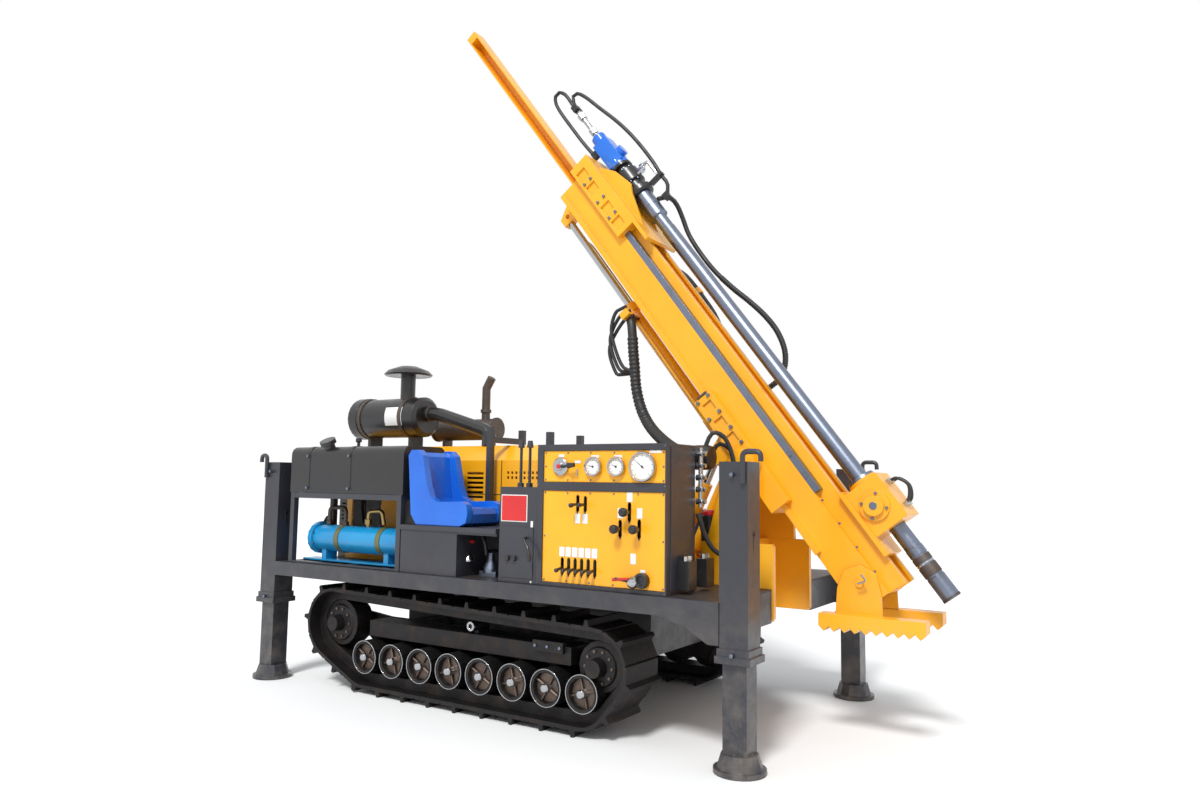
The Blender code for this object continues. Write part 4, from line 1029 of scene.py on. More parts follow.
def make_clamp(parent):
    """Rod clamp: a block round the string on a bracket over the channel, with side caps and a top ring."""
    back = CHANNEL_FRONT + SEAT_GAP
    middle = (CLAMP_LOW + CLAMP_TOP) / 2
    shapes = [box((back + 0.020, -CLAMP_HALF, CLAMP_LOW), (ROD_X + 0.105, CLAMP_HALF, CLAMP_TOP)),
              box((back, -CLAMP_HALF - 0.020, CLAMP_LOW - 0.100),
                  (back + 0.025, CLAMP_HALF + 0.020, CLAMP_TOP + 0.020)),
              bar((ROD_X, 0, CLAMP_TOP - 0.010), (ROD_X, 0, CLAMP_TOP + 0.026), 0.078, 20)]
    for side in (-1, 1):
        for radius, reach in ((0.078, 0.014), (0.052, 0.034)):
            y_low, y_high = pair(side, CLAMP_HALF - 0.010, CLAMP_HALF + reach)
            shapes.append(bar((ROD_X, y_low, middle), (ROD_X, y_high, middle), radius, 20))
    bore = bar((ROD_X, 0, CLAMP_LOW - 0.1), (ROD_X, 0, CLAMP_TOP + 0.1), ROD_R + RUN_GAP, 24)
    piece("rod_clamp", carved(fused(*shapes), bore), "amber", parent)


# Power head

def make_carriage(parent):
    """Guide shoes over the front rails with windows, a face plate and two arms up to the power head."""
    rail_front = MAST_DEEP + SEAT_GAP + RAIL_DEEP
    face_low = CHANNEL_FRONT + RUN_GAP
    face_high = face_low + 0.022
    half = MAST_HALF + CARRIAGE_SIDE
    shoe_low = CARRIAGE_LOW + 0.150
    shapes = [box((face_low, -half, CARRIAGE_LOW), (face_high, half, CARRIAGE_TOP))]
    windows = []
    for side in (-1, 1):
        shapes.append(slab(side, (MAST_DEEP - 0.030, face_high - 0.001), (MAST_HALF + SLIDE_GAP, half),
                           (shoe_low, CARRIAGE_TOP - 0.001)))
        shapes.append(slab(side, (rail_front + SLIDE_GAP, face_high - 0.002),
                           (CHANNEL_HALF + RUN_GAP, half - 0.001), (shoe_low, CARRIAGE_TOP - 0.002)))
        y_low, y_high = pair(side, half - 0.012, half + 0.010)
        for middle in (1.675, 1.805, 1.985, 2.110):
            windows.append(box((MAST_DEEP - 0.010, y_low, middle - 0.035),
                               (MAST_DEEP + 0.060, y_high, middle + 0.035)))
        arm = [(face_high - 0.005, 1.560), (face_high - 0.005, 2.120), (ROD_X - 0.020, 2.000),
               (ROD_X + 0.010, 1.860), (ROD_X - 0.020, 1.800)]
        shapes.append(plate(arm, *pair(side, HEAD_R + SEAT_GAP, HEAD_R + 0.020)))
    piece("feed_carriage", carved(fused(*shapes), *windows), "amber", parent)


def make_head(parent):
    """Stepped gearbox between the carriage's arms, blue motor on top, swivel tube above it."""
    deep = HEAD_LOW - HEAD_TOP
    profile = [(0, 0), (0.070, 0), (0.070, -0.020), (0.050, -0.024), (0.050, -0.055), (0.078, -0.064),
               (0.078, -0.160), (0.060, -0.168), (0.060, -0.215), (HEAD_R, -0.222), (HEAD_R, deep + 0.012),
               (HEAD_R - 0.012, deep), (0, deep)]
    piece("power_head", turned(profile, (ROD_X, 0, HEAD_TOP), sides=20), "black", parent)
    low = HEAD_TOP + SEAT_GAP
    shapes = [box((ROD_X - MOTOR_HALF, -MOTOR_HALF, low + 0.018),
                  (ROD_X + MOTOR_HALF, MOTOR_HALF, MOTOR_TOP - 0.060)),
              bar((ROD_X, 0, low), (ROD_X, 0, low + 0.030), 0.066, 20),
              bar((ROD_X, 0, MOTOR_TOP - 0.070), (ROD_X, 0, MOTOR_TOP), 0.048, 20),
              bar((ROD_X, 0, low + 0.090), (ROD_X + MOTOR_HALF + 0.030, 0, low + 0.090), 0.038, 16)]
    piece("head_motor", fused(*shapes), "blue", parent)
    tube = bar((ROD_X, 0, MOTOR_TOP + SEAT_GAP), (ROD_X, 0, SWIVEL_TOP), 0.016, 12)
    nuts = [bar((ROD_X, 0, z), (ROD_X, 0, z + 0.045), 0.027, 6) for z in (2.390, 2.540)]
    piece("head_swivel", fused(tube, *nuts), "chrome", parent)


# The port below the head's elbow
PORT_X = 0.505
PORT_Z = 1.680
PORT_OUT = 0.036


def make_head_hoses(parent):
    """Block on the swivel with two hoses: one back to the motor, one to an elbow below the gearbox."""
    across = 0.016
    low = SWIVEL_TOP + SEAT_GAP
    shapes = [box((ROD_X - 0.020, -0.030, low), (ROD_X + 0.020, 0.030, low + 0.045))]
    rear = [(ROD_X, 2.650), (0.396, 2.720), (0.396, 2.785), (0.374, 2.836), (0.336, 2.838), (0.308, 2.790),
            (0.298, 2.700), (0.296, 2.560), (0.296, 2.420), (0.300, 2.330), (0.304, 2.260)]
    fore = [(ROD_X, 2.650), (0.400, 2.710), (0.424, 2.752), (0.458, 2.742), (0.486, 2.670), (0.515, 2.520),
            (0.545, 2.370), (0.565, 2.220), (0.572, 2.070), (0.569, 1.920), (0.562, 1.850), (0.558, 1.790),
            (0.552, 1.730), (0.515, 1.682)]
    for y, route in ((-across, rear), (across, fore)):
        shapes.append(pipe(smooth([(x, y, z) for x, z in route], HOSE_R * 3), HOSE_R, 2))
    side = ROD_X - MOTOR_HALF - SEAT_GAP
    shapes.append(box((side - 0.047, -0.030, 2.235), (side, -0.002, 2.285)))
    shapes.append(box((ROD_X + HEAD_R + SEAT_GAP, -0.006, 1.806), (0.575, 0.028, 1.830)))
    shapes.append(box((PORT_X - 0.020, -0.004, PORT_Z - 0.020), (PORT_X + 0.020, PORT_OUT, PORT_Z + 0.020)))
    piece("head_hoses", fused(*shapes), "rubber", parent)


def make_string(parent):
    """Chuck, collar and rod down to the core barrel, with bands near its crown."""
    top = HEAD_LOW - SEAT_GAP
    end = BIT_Z - top
    profile = [(0, 0), (0.058, 0), (0.058, -0.19), (0.042, -0.20), (0.042, -0.29), (ROD_R, -0.30),
               (ROD_R, end + 0.300), (BIT_R, end + 0.297), (BIT_R, end + 0.255), (ROD_R, end + 0.252),
               (ROD_R, end + 0.130), (BIT_R, end + 0.127), (BIT_R, end), (0, end)]
    piece("drill_string", turned(profile, (ROD_X, 0, top), sides=20), "steel", parent)


# Engine and equipment

def hood_outline(inset, low):
    """End view of the hood with its sloped shoulders, drawn inward by inset and down to low."""
    half = HOOD_HALF - inset
    top = HOOD_TOP - inset
    shoulder = half - HOOD_SHOULDER
    side = HOOD_SHOULDER_Z - inset
    return [(-half, low), (half, low), (half, side), (shoulder, top), (-shoulder, top), (-half, side)]


def make_engine(parent):
    """Engine as one plain block under a long hood with louvres, small holes and service openings."""
    block = box((-0.750, -0.230, FLOOR), (0.020, 0.230, 1.320))
    hollow = box((-0.710, -0.190, FLOOR - 0.1), (-0.020, 0.190, 1.270))
    piece("engine_block", carved(block, hollow), "black", parent)
    hood = plate(hood_outline(0, FLOOR), HOOD_REAR, HOOD_FRONT, "end")
    inside = plate(hood_outline(HOOD_WALL, FLOOR - 0.1), HOOD_REAR - 0.1, HOOD_FRONT - HOOD_WALL, "end")
    cutters = []
    for side in (-1, 1):
        y_low, y_high = pair(side, HOOD_HALF - 0.03, HOOD_HALF + 0.03)
        for slot in range(6):
            low = 1.172 + 0.029 * slot
            cutters.append(box((-0.374, y_low, low), (-0.240, y_high, low + 0.014)))
        for row in range(2):
            for column in range(8):
                x = -0.055 + 0.031 * column
                low = 1.292 + 0.030 * row
                cutters.append(box((x, y_low, low), (x + 0.015, y_high, low + 0.015)))
        cutters.append(box((-0.700, y_low, 0.780), (0.200, y_high, 1.120)))
        cutters.append(box((HOOD_REAR + 0.050, y_low, 0.780), (-0.780, y_high, 1.180)))
    piece("engine_hood", carved(hood, inside, *cutters), "amber", parent)


def make_cooling(parent):
    """Radiator with slots in its sides, guard hoops and the round shroud ahead of it."""
    back = BEAM_REAR_X + 0.004
    front = HOOD_REAR - RUN_GAP
    core = box((back, -0.420, FLOOR), (front, 0.420, RADIATOR_TOP))
    cutters = []
    for side in (-1, 1):
        y_low, y_high = pair(side, 0.405, 0.430)
        for slot in range(5):
            low = 1.000 + 0.026 * slot
            cutters.append(box((back + 0.025, y_low, low), (front - 0.025, y_high, low + 0.012)))
    piece("radiator", carved(core, *cutters), "black", parent)
    start = front + SEAT_GAP
    shroud_start = -1.250
    rings = []
    for x in (start + 0.010, -1.310):
        rings.append(plate(ring_points((0, FAN_Z), HOOP_R, count=18), x, x + 0.012, "end",
                           holes=(ring_points((0, FAN_Z), HOOP_R - 0.014, count=18),)))
    for y, z in ring_points((0, FAN_Z), HOOP_R - 0.009, 30, 390, 6):
        rings.append(box((start, y - 0.005, z - 0.005), (shroud_start - SEAT_GAP, y + 0.005, z + 0.005)))
    piece("fan_guard", fused(*rings), "black", parent)
    shroud = plate(ring_points((0, FAN_Z), SHROUD_R, count=20), shroud_start, -1.100, "end",
                   holes=(ring_points((0, FAN_Z), SHROUD_R - 0.045, count=20),))
    foot = box((-1.230, -0.120, FLOOR), (-1.120, 0.120, FAN_Z - SHROUD_R + 0.020))
    piece("fan_shroud", fused(shroud, foot), "amber", parent)


def make_breathing(parent):
    """Air cleaner with rain cap, its duct to the hood, and the muffler with its stack, on the hood."""
    top = HOOD_TOP + SEAT_GAP
    length = CLEANER_LONG
    body = turned([(0, 0), (0.110, 0), (CLEANER_R, -0.022), (CLEANER_R, -length + 0.120),
                   (CLEANER_R + 0.010, -length + 0.114), (CLEANER_R + 0.010, -length + 0.040),
                   (0.110, -length), (0, -length)], (CLEANER_END, CLEANER_Y, CLEANER_Z), (1, 0, 0), 24)
    cap = turned([(0, 0), (0.060, -0.006), (0.140, -0.036), (0.165, -0.062), (0.155, -0.072), (0.050, -0.066),
                  (0.050, -0.260), (0, -0.260)], (CLEANER_END - 0.193, CLEANER_Y, 2.058), (0, 0, 1), 24)
    shapes = [body, cap]
    for x in (CLEANER_END - 0.540, CLEANER_END - 0.150):
        shapes.append(box((x, CLEANER_Y - 0.025, top), (x + 0.030, CLEANER_Y + 0.085, CLEANER_Z - 0.080)))
    piece("air_cleaner", fused(*shapes), "black", parent)
    start = CLEANER_END + SEAT_GAP
    duct = pipe([(start, CLEANER_Y, CLEANER_Z + 0.020), (start + 0.090, CLEANER_Y, CLEANER_Z + 0.020),
                 (-0.330, CLEANER_Y, 1.590), (-0.330, CLEANER_Y, top)], DUCT_R, 3, 0.045)
    piece("intake_duct", duct, "black", parent)
    shapes = [bar((-1.197, MUFFLER_Y, MUFFLER_Z), (-0.631, MUFFLER_Y, MUFFLER_Z), MUFFLER_R, 20)]
    shapes.append(pipe([(-0.742, MUFFLER_Y, MUFFLER_Z), (-0.742, MUFFLER_Y, 1.930),
                        (-0.695, MUFFLER_Y, 2.005)], 0.030, 3))
    for x in (-1.110, -0.740):
        shapes.append(box((x, MUFFLER_Y - 0.040, top), (x + 0.025, MUFFLER_Y + 0.040, MUFFLER_Z - 0.050)))
    piece("muffler", fused(*shapes), "worn", parent)


def round_topped(low, high, corner, near, far):
    """A bar along X whose section is a rectangle with its upper corners rounded."""
    outline = [low, (high[0], low[1])]
    outline += ring_points((high[0] - corner, high[1] - corner), corner, 0, 90, 5)
    outline += ring_points((low[0] + corner, high[1] - corner), corner, 90, 180, 5)
    return plate(outline, near, far, "end")


def make_rack(parent):
    """Angle-iron rack at the rear that carries the fuel tank, with the oil cooler and its pipes inside."""
    out = -EQUIPMENT_OUT
    inner = RACK_DEEP - EQUIPMENT_OUT
    end = RACK_END
    shapes = []
    for y in (out, inner - RACK_BAR):
        for x in (RACK_X, end - RACK_BAR):
            shapes.append(box((x, y, FLOOR), (x + RACK_BAR, y + RACK_BAR, RACK_TOP)))
        shapes.append(box((RACK_X + 0.005, y + 0.001, RACK_TOP - RACK_BAR),
                          (end - 0.005, y + 0.034, RACK_TOP - 0.001)))
        shapes.append(box((RACK_X + 0.005, y + 0.001, FLOOR + 0.001),
                          (end - 0.005, y + 0.034, FLOOR + 0.012)))
    for x in (RACK_X + 0.002, (RACK_X + end) / 2, end - 0.037):
        shapes.append(box((x, out + 0.005, RACK_TOP - 0.030), (x + 0.033, inner - 0.006, RACK_TOP - 0.002)))
        shapes.append(box((x, out + 0.005, FLOOR + 0.002), (x + 0.033, inner - 0.006, FLOOR + 0.010)))
    piece("equipment_rack", fused(*shapes), "charcoal", parent)

    low = RACK_TOP + SEAT_GAP
    tank = round_topped((out, low), (inner, low + TANK_HIGH), TANK_CORNER, RACK_X - 0.010, end + 0.010)
    hollow = box((RACK_X + 0.020, out + 0.040, low - 0.1),
                 (end - 0.020, inner - 0.040, low + TANK_HIGH - 0.020))
    shapes = [tank]
    for x in (RACK_X + 0.140, RACK_X + 0.520):
        shapes.append(round_topped((out - 0.003, low + 0.020), (inner + 0.003, low + TANK_HIGH + 0.003),
                                   TANK_CORNER, x, x + 0.032))
    neck = Vector((RACK_X + 0.310, out + 0.060, low + TANK_HIGH - 0.045))
    tilt = Vector((0, -0.55, 1)).normalized()
    shapes.append(bar(neck, neck + tilt * 0.075, 0.034, 16))
    shapes.append(bar(neck + tilt * 0.070, neck + tilt * 0.098, 0.050, 16))
    piece("fuel_tank", carved(fused(*shapes), hollow), "black", parent)

    start = RACK_X + 0.050
    length = end - 0.040 - start
    middle = out + 0.170
    profile = [(0, 0), (0.058, 0), (0.074, -0.018), (0.074, -0.040), (0.104, -0.044), (0.104, -0.074),
               (COOLER_R, -0.078), (COOLER_R, -length + 0.080), (0.104, -length + 0.076),
               (0.104, -length + 0.046), (0.074, -length + 0.042), (0.074, -length + 0.020),
               (0.050, -length), (0, -length)]
    shapes = [turned(profile, (start + length, middle, COOLER_Z), (1, 0, 0), 16)]
    base = FLOOR + 0.010 + SEAT_GAP
    for x in (start + 0.120, end - 0.260):
        shapes.append(box((x, middle - 0.045, base), (x + 0.040, middle + 0.045, COOLER_Z - 0.050)))
    shapes.append(box((RACK_X + 0.003, middle - 0.055, base), (end - 0.003, middle + 0.055, base + 0.010)))
    piece("oil_cooler", fused(*shapes), "cyan", parent)
    surface = COOLER_Z + COOLER_R + SEAT_GAP
    first = start + 0.130
    arch = pipe([(first, middle, surface), (first, middle, surface + 0.110),
                 (first + 0.150, middle, surface + 0.110), (first + 0.150, middle, surface)], 0.014, 2,
                0.035)
    nuts = [bar((x, middle, surface), (x, middle, surface + 0.022), 0.023, 6) for x in (first, first + 0.150)]
    piece("cooler_pipe", fused(arch, *nuts), "worn", parent)


def make_hydraulic_tank(parent):
    """Closed tank on the far side of the deck, with a filler cap and a lid."""
    out = EQUIPMENT_OUT
    inner = out - 0.450
    tank = box((0.360, inner, FLOOR), (1.200, out, 1.100))
    hollow = box((0.366, inner + SHEET, FLOOR - 0.1), (1.194, out - SHEET, 1.094))
    cap = bar((0.450, out - 0.220, 1.090), (0.450, out - 0.220, 1.150), 0.045, 16)
    lid = box((0.640, inner + 0.060, 1.095), (1.080, out - 0.060, 1.112))
    piece("hydraulic_tank", carved(fused(tank, cap, lid), hollow), "charcoal", parent)


def make_seat(parent):
    """Seat box with a rim and an open bay for its valve, and the moulded bucket on top."""
    out = -EQUIPMENT_OUT
    inner = out + SEAT_BOX_DEEP
    end = SEAT_BOX_X + SEAT_BOX_LONG
    bay = end - SEAT_BAY_LONG
    top = SEAT_BOX_TOP
    body = box((SEAT_BOX_X, out, FLOOR), (end, inner, top - 0.010))
    rim = box((SEAT_BOX_X, out - 0.010, top - 0.028), (end, inner, top))
    hollow = box((SEAT_BOX_X + SHEET, out + SHEET, FLOOR - 0.1), (bay - 0.012, inner - SHEET, top - SHEET))
    opening = box((bay, out - 0.1, FLOOR - 0.1), (end + 0.1, inner - 0.060, top - 0.040))
    piece("seat_box", carved(fused(body, rim), hollow, opening), "charcoal", parent)

    middle = (out + inner) / 2
    shapes = [box((bay + 0.060, middle - 0.035, FLOOR), (bay + 0.180, middle + 0.035, FLOOR + 0.030))]
    shapes.append(turned([(0, 0.130), (0.018, 0.130), (0.022, 0.092), (0.046, 0.050), (0.046, 0.020),
                          (0, 0.020)], (bay + 0.120, middle, FLOOR), sides=14))
    shapes.append(bar((bay + 0.120, middle - 0.045, FLOOR + 0.138),
                      (bay + 0.120, middle + 0.045, FLOOR + 0.138), 0.011, 8))
    piece("bay_valve", fused(*shapes), "steel", parent)

    low = top + SEAT_GAP
    start = SEAT_BOX_X + 0.045
    pan = [(0.070, 0), (0.400, 0), (0.440, 0.020), (0.452, 0.070), (0.440, 0.102), (0.410, 0.108),
           (0.180, 0.085), (0.130, 0.100), (0.100, 0.150), (0.066, 0.395), (0.045, 0.420), (0.015, 0.415),
           (0, 0.390), (0.030, 0.060)]
    wing = [(0.070, 0.004), (0.400, 0.004), (0.446, 0.022), (0.460, 0.075), (0.450, 0.125), (0.415, 0.142),
            (0.230, 0.135), (0.180, 0.160), (0.150, 0.230), (0.110, 0.400), (0.075, 0.432), (0.020, 0.432),
            (-0.004, 0.400), (0.028, 0.060)]
    shapes = [plate([(start + x, low + z) for x, z in pan], out + 0.004, inner - 0.004)]
    for near, far in ((out, out + 0.045), (inner - 0.045, inner)):
        shapes.append(plate([(start + x, low + z) for x, z in wing], near, far))
    piece("seat", fused(*shapes), "shell", parent)


def make_console(parent):
    """Narrow cabinet beside the panel with two upright levers."""
    out = -EQUIPMENT_OUT
    end = PANEL_X - SEAT_GAP
    inner = out + CONSOLE_DEEP
    body = box((CONSOLE_X, out, FLOOR), (end, inner, CONSOLE_TOP))
    hollow = box((CONSOLE_X + SHEET, out + SHEET, FLOOR - 0.1),
                 (end - SHEET, inner - SHEET, CONSOLE_TOP - SHEET))
    shapes = [carved(body, hollow)]
    for x in (CONSOLE_X + 0.060, CONSOLE_X + 0.120):
        shapes.append(bar((x, out + 0.100, CONSOLE_TOP - 0.004), (x, out + 0.100, 1.470), 0.008, 8))
        shapes.append(bar((x, out + 0.100, 1.462), (x, out + 0.100, 1.500), 0.019, 12, 0.013))
        shapes.append(bar((x, out + 0.100, CONSOLE_TOP - 0.002), (x, out + 0.100, CONSOLE_TOP + 0.022),
                          0.018, 12))
    piece("side_console", fused(*shapes), "charcoal", parent)


# Selector and gauges: x from the panel's left edge, radius and depth of each body
SELECTOR = (0.150, 0.045, 0.020)
GAUGES = ((0.353, 0.046, 0.022), (0.490, 0.046, 0.022), (0.642, 0.070, 0.026))
GAUGE_Z = 1.358

# Levers through the panel: slot middle x, slot low and high z, reach, height of the grip's end over its root,
# radius of the grip. Distances along x run from the panel's left edge.
LEVERS = (
    (0.254, 1.127, 1.217, 0.072, -0.010, 0.012),
    (0.300, 1.127, 1.210, 0.068, -0.004, 0.012),
    (0.560, 1.088, 1.185, LEVER_REACH, 0, 0.023),
    (0.508, 1.009, 1.098, LEVER_REACH, 0, 0.023),
    (0.616, 1.008, 1.103, LEVER_REACH, 0, 0.023),
    *((0.164 + 0.0397 * i, 0.806, 0.896, 0.062, -0.018, 0.011) for i in range(6)),
)
SLOT_WIDE = 0.020
VALVE_AT = (0.600, 0.802)


def make_panel(parent):
    """Cabinet open at the back, gauge plate over lever plate, and the valve block behind its slots."""
    out = -EQUIPMENT_OUT
    inner = out + PANEL_DEEP
    end = PANEL_X + PANEL_LONG
    left = PANEL_X + PANEL_RIM
    right = end - 0.009
    low = FLOOR + 0.020
    body = box((PANEL_X, out, FLOOR), (end, inner, PANEL_TOP))
    hollow = box((PANEL_X + SHEET, out + 0.024, FLOOR + SHEET), (end - SHEET, inner + 0.1, PANEL_TOP - SHEET))
    windows = []
    spans = ((low, PANEL_SPLIT - 0.030), (PANEL_SPLIT + 0.013, PANEL_TOP - 0.032))
    for bottom, top in spans:
        windows.append(box((left, out - 0.02, bottom), (right, out + PANEL_RECESS, top)))
        windows.append(box((left + 0.015, out, bottom + 0.015), (right - 0.015, out + 0.03, top - 0.015)))
    middle = end - GLAND_INSET
    gland = box((middle - GLAND_HALF, inner - 0.030, PANEL_TOP - GLAND_HALF * 2),
                (middle + GLAND_HALF, inner + GLAND_DEEP, PANEL_TOP - 0.001))
    piece("panel_cabinet", fused(carved(body, hollow, *windows), gland), "charcoal", parent)

    face = out + PANEL_RECESS - SEAT_GAP
    bottom, top = spans[0]
    gap = 0.001
    slots = []
    for x, slot_low, slot_high, reach, rise, radius in LEVERS:
        middle = PANEL_X + x
        ends = ring_points((middle, slot_high - SLOT_WIDE / 2), SLOT_WIDE / 2, 0, 180, 4)
        ends += ring_points((middle, slot_low + SLOT_WIDE / 2), SLOT_WIDE / 2, 180, 360, 4)
        slots.append(ends)
    port = ring_points((PANEL_X + VALVE_AT[0], VALVE_AT[1]), 0.024, count=16)
    outline = [(left + gap, bottom + gap), (right - gap, bottom + gap), (right - gap, top - gap),
               (left + gap, top - gap)]
    piece("panel_plate", plate(outline, face - PANEL_SHEET, face, holes=(*slots, port)), "amber", parent)

    bottom, top = spans[1]
    shapes = [box((left + gap, face - PANEL_SHEET, bottom + gap), (right - gap, face, top - gap))]
    for x, radius, deep in (SELECTOR, *GAUGES):
        place = Vector((PANEL_X + x, face - 0.004, GAUGE_Z))
        profile = [(0, deep - 0.006), (radius - 0.008, deep - 0.006), (radius - 0.006, deep),
                   (radius, deep - 0.003), (radius, 0), (0, 0)]
        shapes.append(turned(profile, place, (0, -1, 0), 16))
    piece("gauge_plate", fused(*shapes), "amber", parent)

    block_front = face + 0.020
    shapes = [box((PANEL_X + 0.120, block_front, 0.780), (PANEL_X + 0.680, block_front + 0.050, 1.210))]
    for x, slot_low, slot_high, reach, rise, radius in LEVERS:
        root = Vector((PANEL_X + x, block_front + 0.010, (slot_low + slot_high) / 2))
        tip = Vector((root.x, face - reach, root.z + rise))
        grip = root.lerp(tip, 0.52)
        shapes.append(bar(root, grip + (tip - root) * 0.02, 0.005, 6))
        shapes.append(bar(grip, tip, radius * 0.55, 8, radius))
    valve = Vector((PANEL_X + VALVE_AT[0], block_front + 0.010, VALVE_AT[1]))
    shapes.append(bar(valve, valve + Vector((0, -0.075, 0)), 0.020, 12))
    handle = valve + Vector((0, -0.068, 0))
    shapes.append(bar(handle, handle + Vector((-0.085, -0.020, 0.016)), 0.007, 8))
    piece("control_valves", fused(*shapes), "black", parent)


def make_rest(parent):
    """Two forked frames that take the mast or rods, over the hood from posts on the operator's side."""
    back = -HOOD_HALF - 0.075
    far = -0.180
    thick = 0.035
    shapes = []
    # x of the frame, height of its cross bar, height of its posts
    for x, bar_low, top in ((-0.160, HOOD_TOP + 0.010, 1.605), (0.285, 1.440, 1.565)):
        shapes.append(box((x, back, FLOOR), (x + thick, back + thick, top)))
        shapes.append(box((x, back, bar_low), (x + thick, far, bar_low + thick)))
        shapes.append(box((x, far - thick, bar_low), (x + thick, far, top - 0.005)))
    shapes.append(box((-0.160, back, FLOOR), (0.320, back + thick, FLOOR + 0.020)))
    piece("mast_rest", fused(*shapes), "charcoal", parent)


def make_sleeve(name, parent):
    """Square tube with a stepped collar below, a cap and a hook bent from bar on its outer face."""
    along, across = LEGS[name]
    x, y = leg_place(name)
    half = SLEEVE_SIZE / 2
    inside = half - SLEEVE_WALL
    guide = POST_SIZE / 2 + SLIDE_GAP
    shapes = [plate(shifted(square(half), x, y), SLEEVE_LOW, SLEEVE_TOP, "plan",
                    holes=(shifted(square(inside), x, y),))]
    # Step outward, top of the step over the sleeve's end
    for step, rise in ((0.008, 0.045), (0.016, 0.012)):
        shapes.append(plate(shifted(square(half + step), x, y), SLEEVE_LOW - 0.020, SLEEVE_LOW + rise, "plan",
                            holes=(shifted(square(guide), x, y),)))
    shapes.append(plate(shifted(square(half), x, y), SLEEVE_TOP - 0.010, SLEEVE_TOP, "plan"))
    hook_x = x + along * (half - HOOK_INSET)
    tip_x = hook_x + (HOOK_WIDE if along > 0 else -REAR_HOOK_WIDE)
    hook_y = y + across * (half + HOOK_R - 0.003)
    rise = SLEEVE_TOP + 0.045
    shapes.append(pipe([(hook_x, hook_y, SLEEVE_TOP - 0.100), (hook_x, hook_y, rise), (tip_x, hook_y, rise),
                        (tip_x, hook_y, SLEEVE_TOP)], HOOK_R, 2, 0.026))
    piece("leg_sleeve_" + name, fused(*shapes), "charcoal", parent)


def make_support(parent):
    """Box with a well for the upright mast, arms up to the trunnions, ears for the lift cylinders."""
    front = BEAM_FRONT_X
    back = front - SUPPORT_LONG
    step = BAY_X + 0.004
    outline = [(back, FLOOR), (step, FLOOR), (step, SUPPORT_LOW), (front, SUPPORT_LOW), (front, SUPPORT_TOP),
               (back, SUPPORT_TOP)]
    rear = [(min(x, WELL_BACK), z) for x, z in outline]
    shapes = [plate(rear, -SUPPORT_HALF + 0.002, SUPPORT_HALF - 0.002)]
    for side in (-1, 1):
        shapes.append(plate(outline, *pair(side, ARM_IN, SUPPORT_HALF)))
    for side in (-1, 1):
        shapes.append(slab(side, (front - 0.002, front + 0.008), (SUPPORT_HALF - 0.036, SUPPORT_HALF - 0.004),
                           (SUPPORT_LOW + 0.012, SUPPORT_TOP - 0.010)))
        arm = [(back + 0.030, SUPPORT_TOP - 0.005), (front - 0.080, SUPPORT_TOP - 0.005),
               *ring_points((MAST_X, MAST_Z), ARM_R, 10, 170, 9)]
        shapes.append(plate(arm, *pair(side, ARM_IN + 0.001, SUPPORT_HALF - 0.002)))
        y_low, y_high = pair(side, ARM_IN + 0.0005, SUPPORT_HALF + 0.012)
        shapes.append(bar((MAST_X, y_low, MAST_Z), (MAST_X, y_high, MAST_Z), ARM_R - 0.012, 24))
        for y in (EAR_Y - 0.029, EAR_Y + 0.029):
            ear = [(EAR_X - 0.060, FLOOR + 0.010), (EAR_X + 0.200, FLOOR + 0.010),
                   (EAR_X + 0.200, FLOOR + 0.060), *ring_points((EAR_X, EAR_Z), 0.050, 0, 180, 6)]
            shapes.append(plate(ear, *pair(side, y - 0.006, y + 0.006)))
        shapes.append(slab(side, (EAR_X - 0.100, back + 0.005), (EAR_Y - 0.060, EAR_Y + 0.060),
                           (FLOOR, FLOOR + 0.025)))
        y_low, y_high = pair(side, EAR_Y - 0.045, EAR_Y + 0.045)
        shapes.append(bar((EAR_X, y_low, EAR_Z), (EAR_X, y_high, EAR_Z), LIFT_PIN_R, 12))
    piece("mast_support", fused(*shapes), "amber", parent)


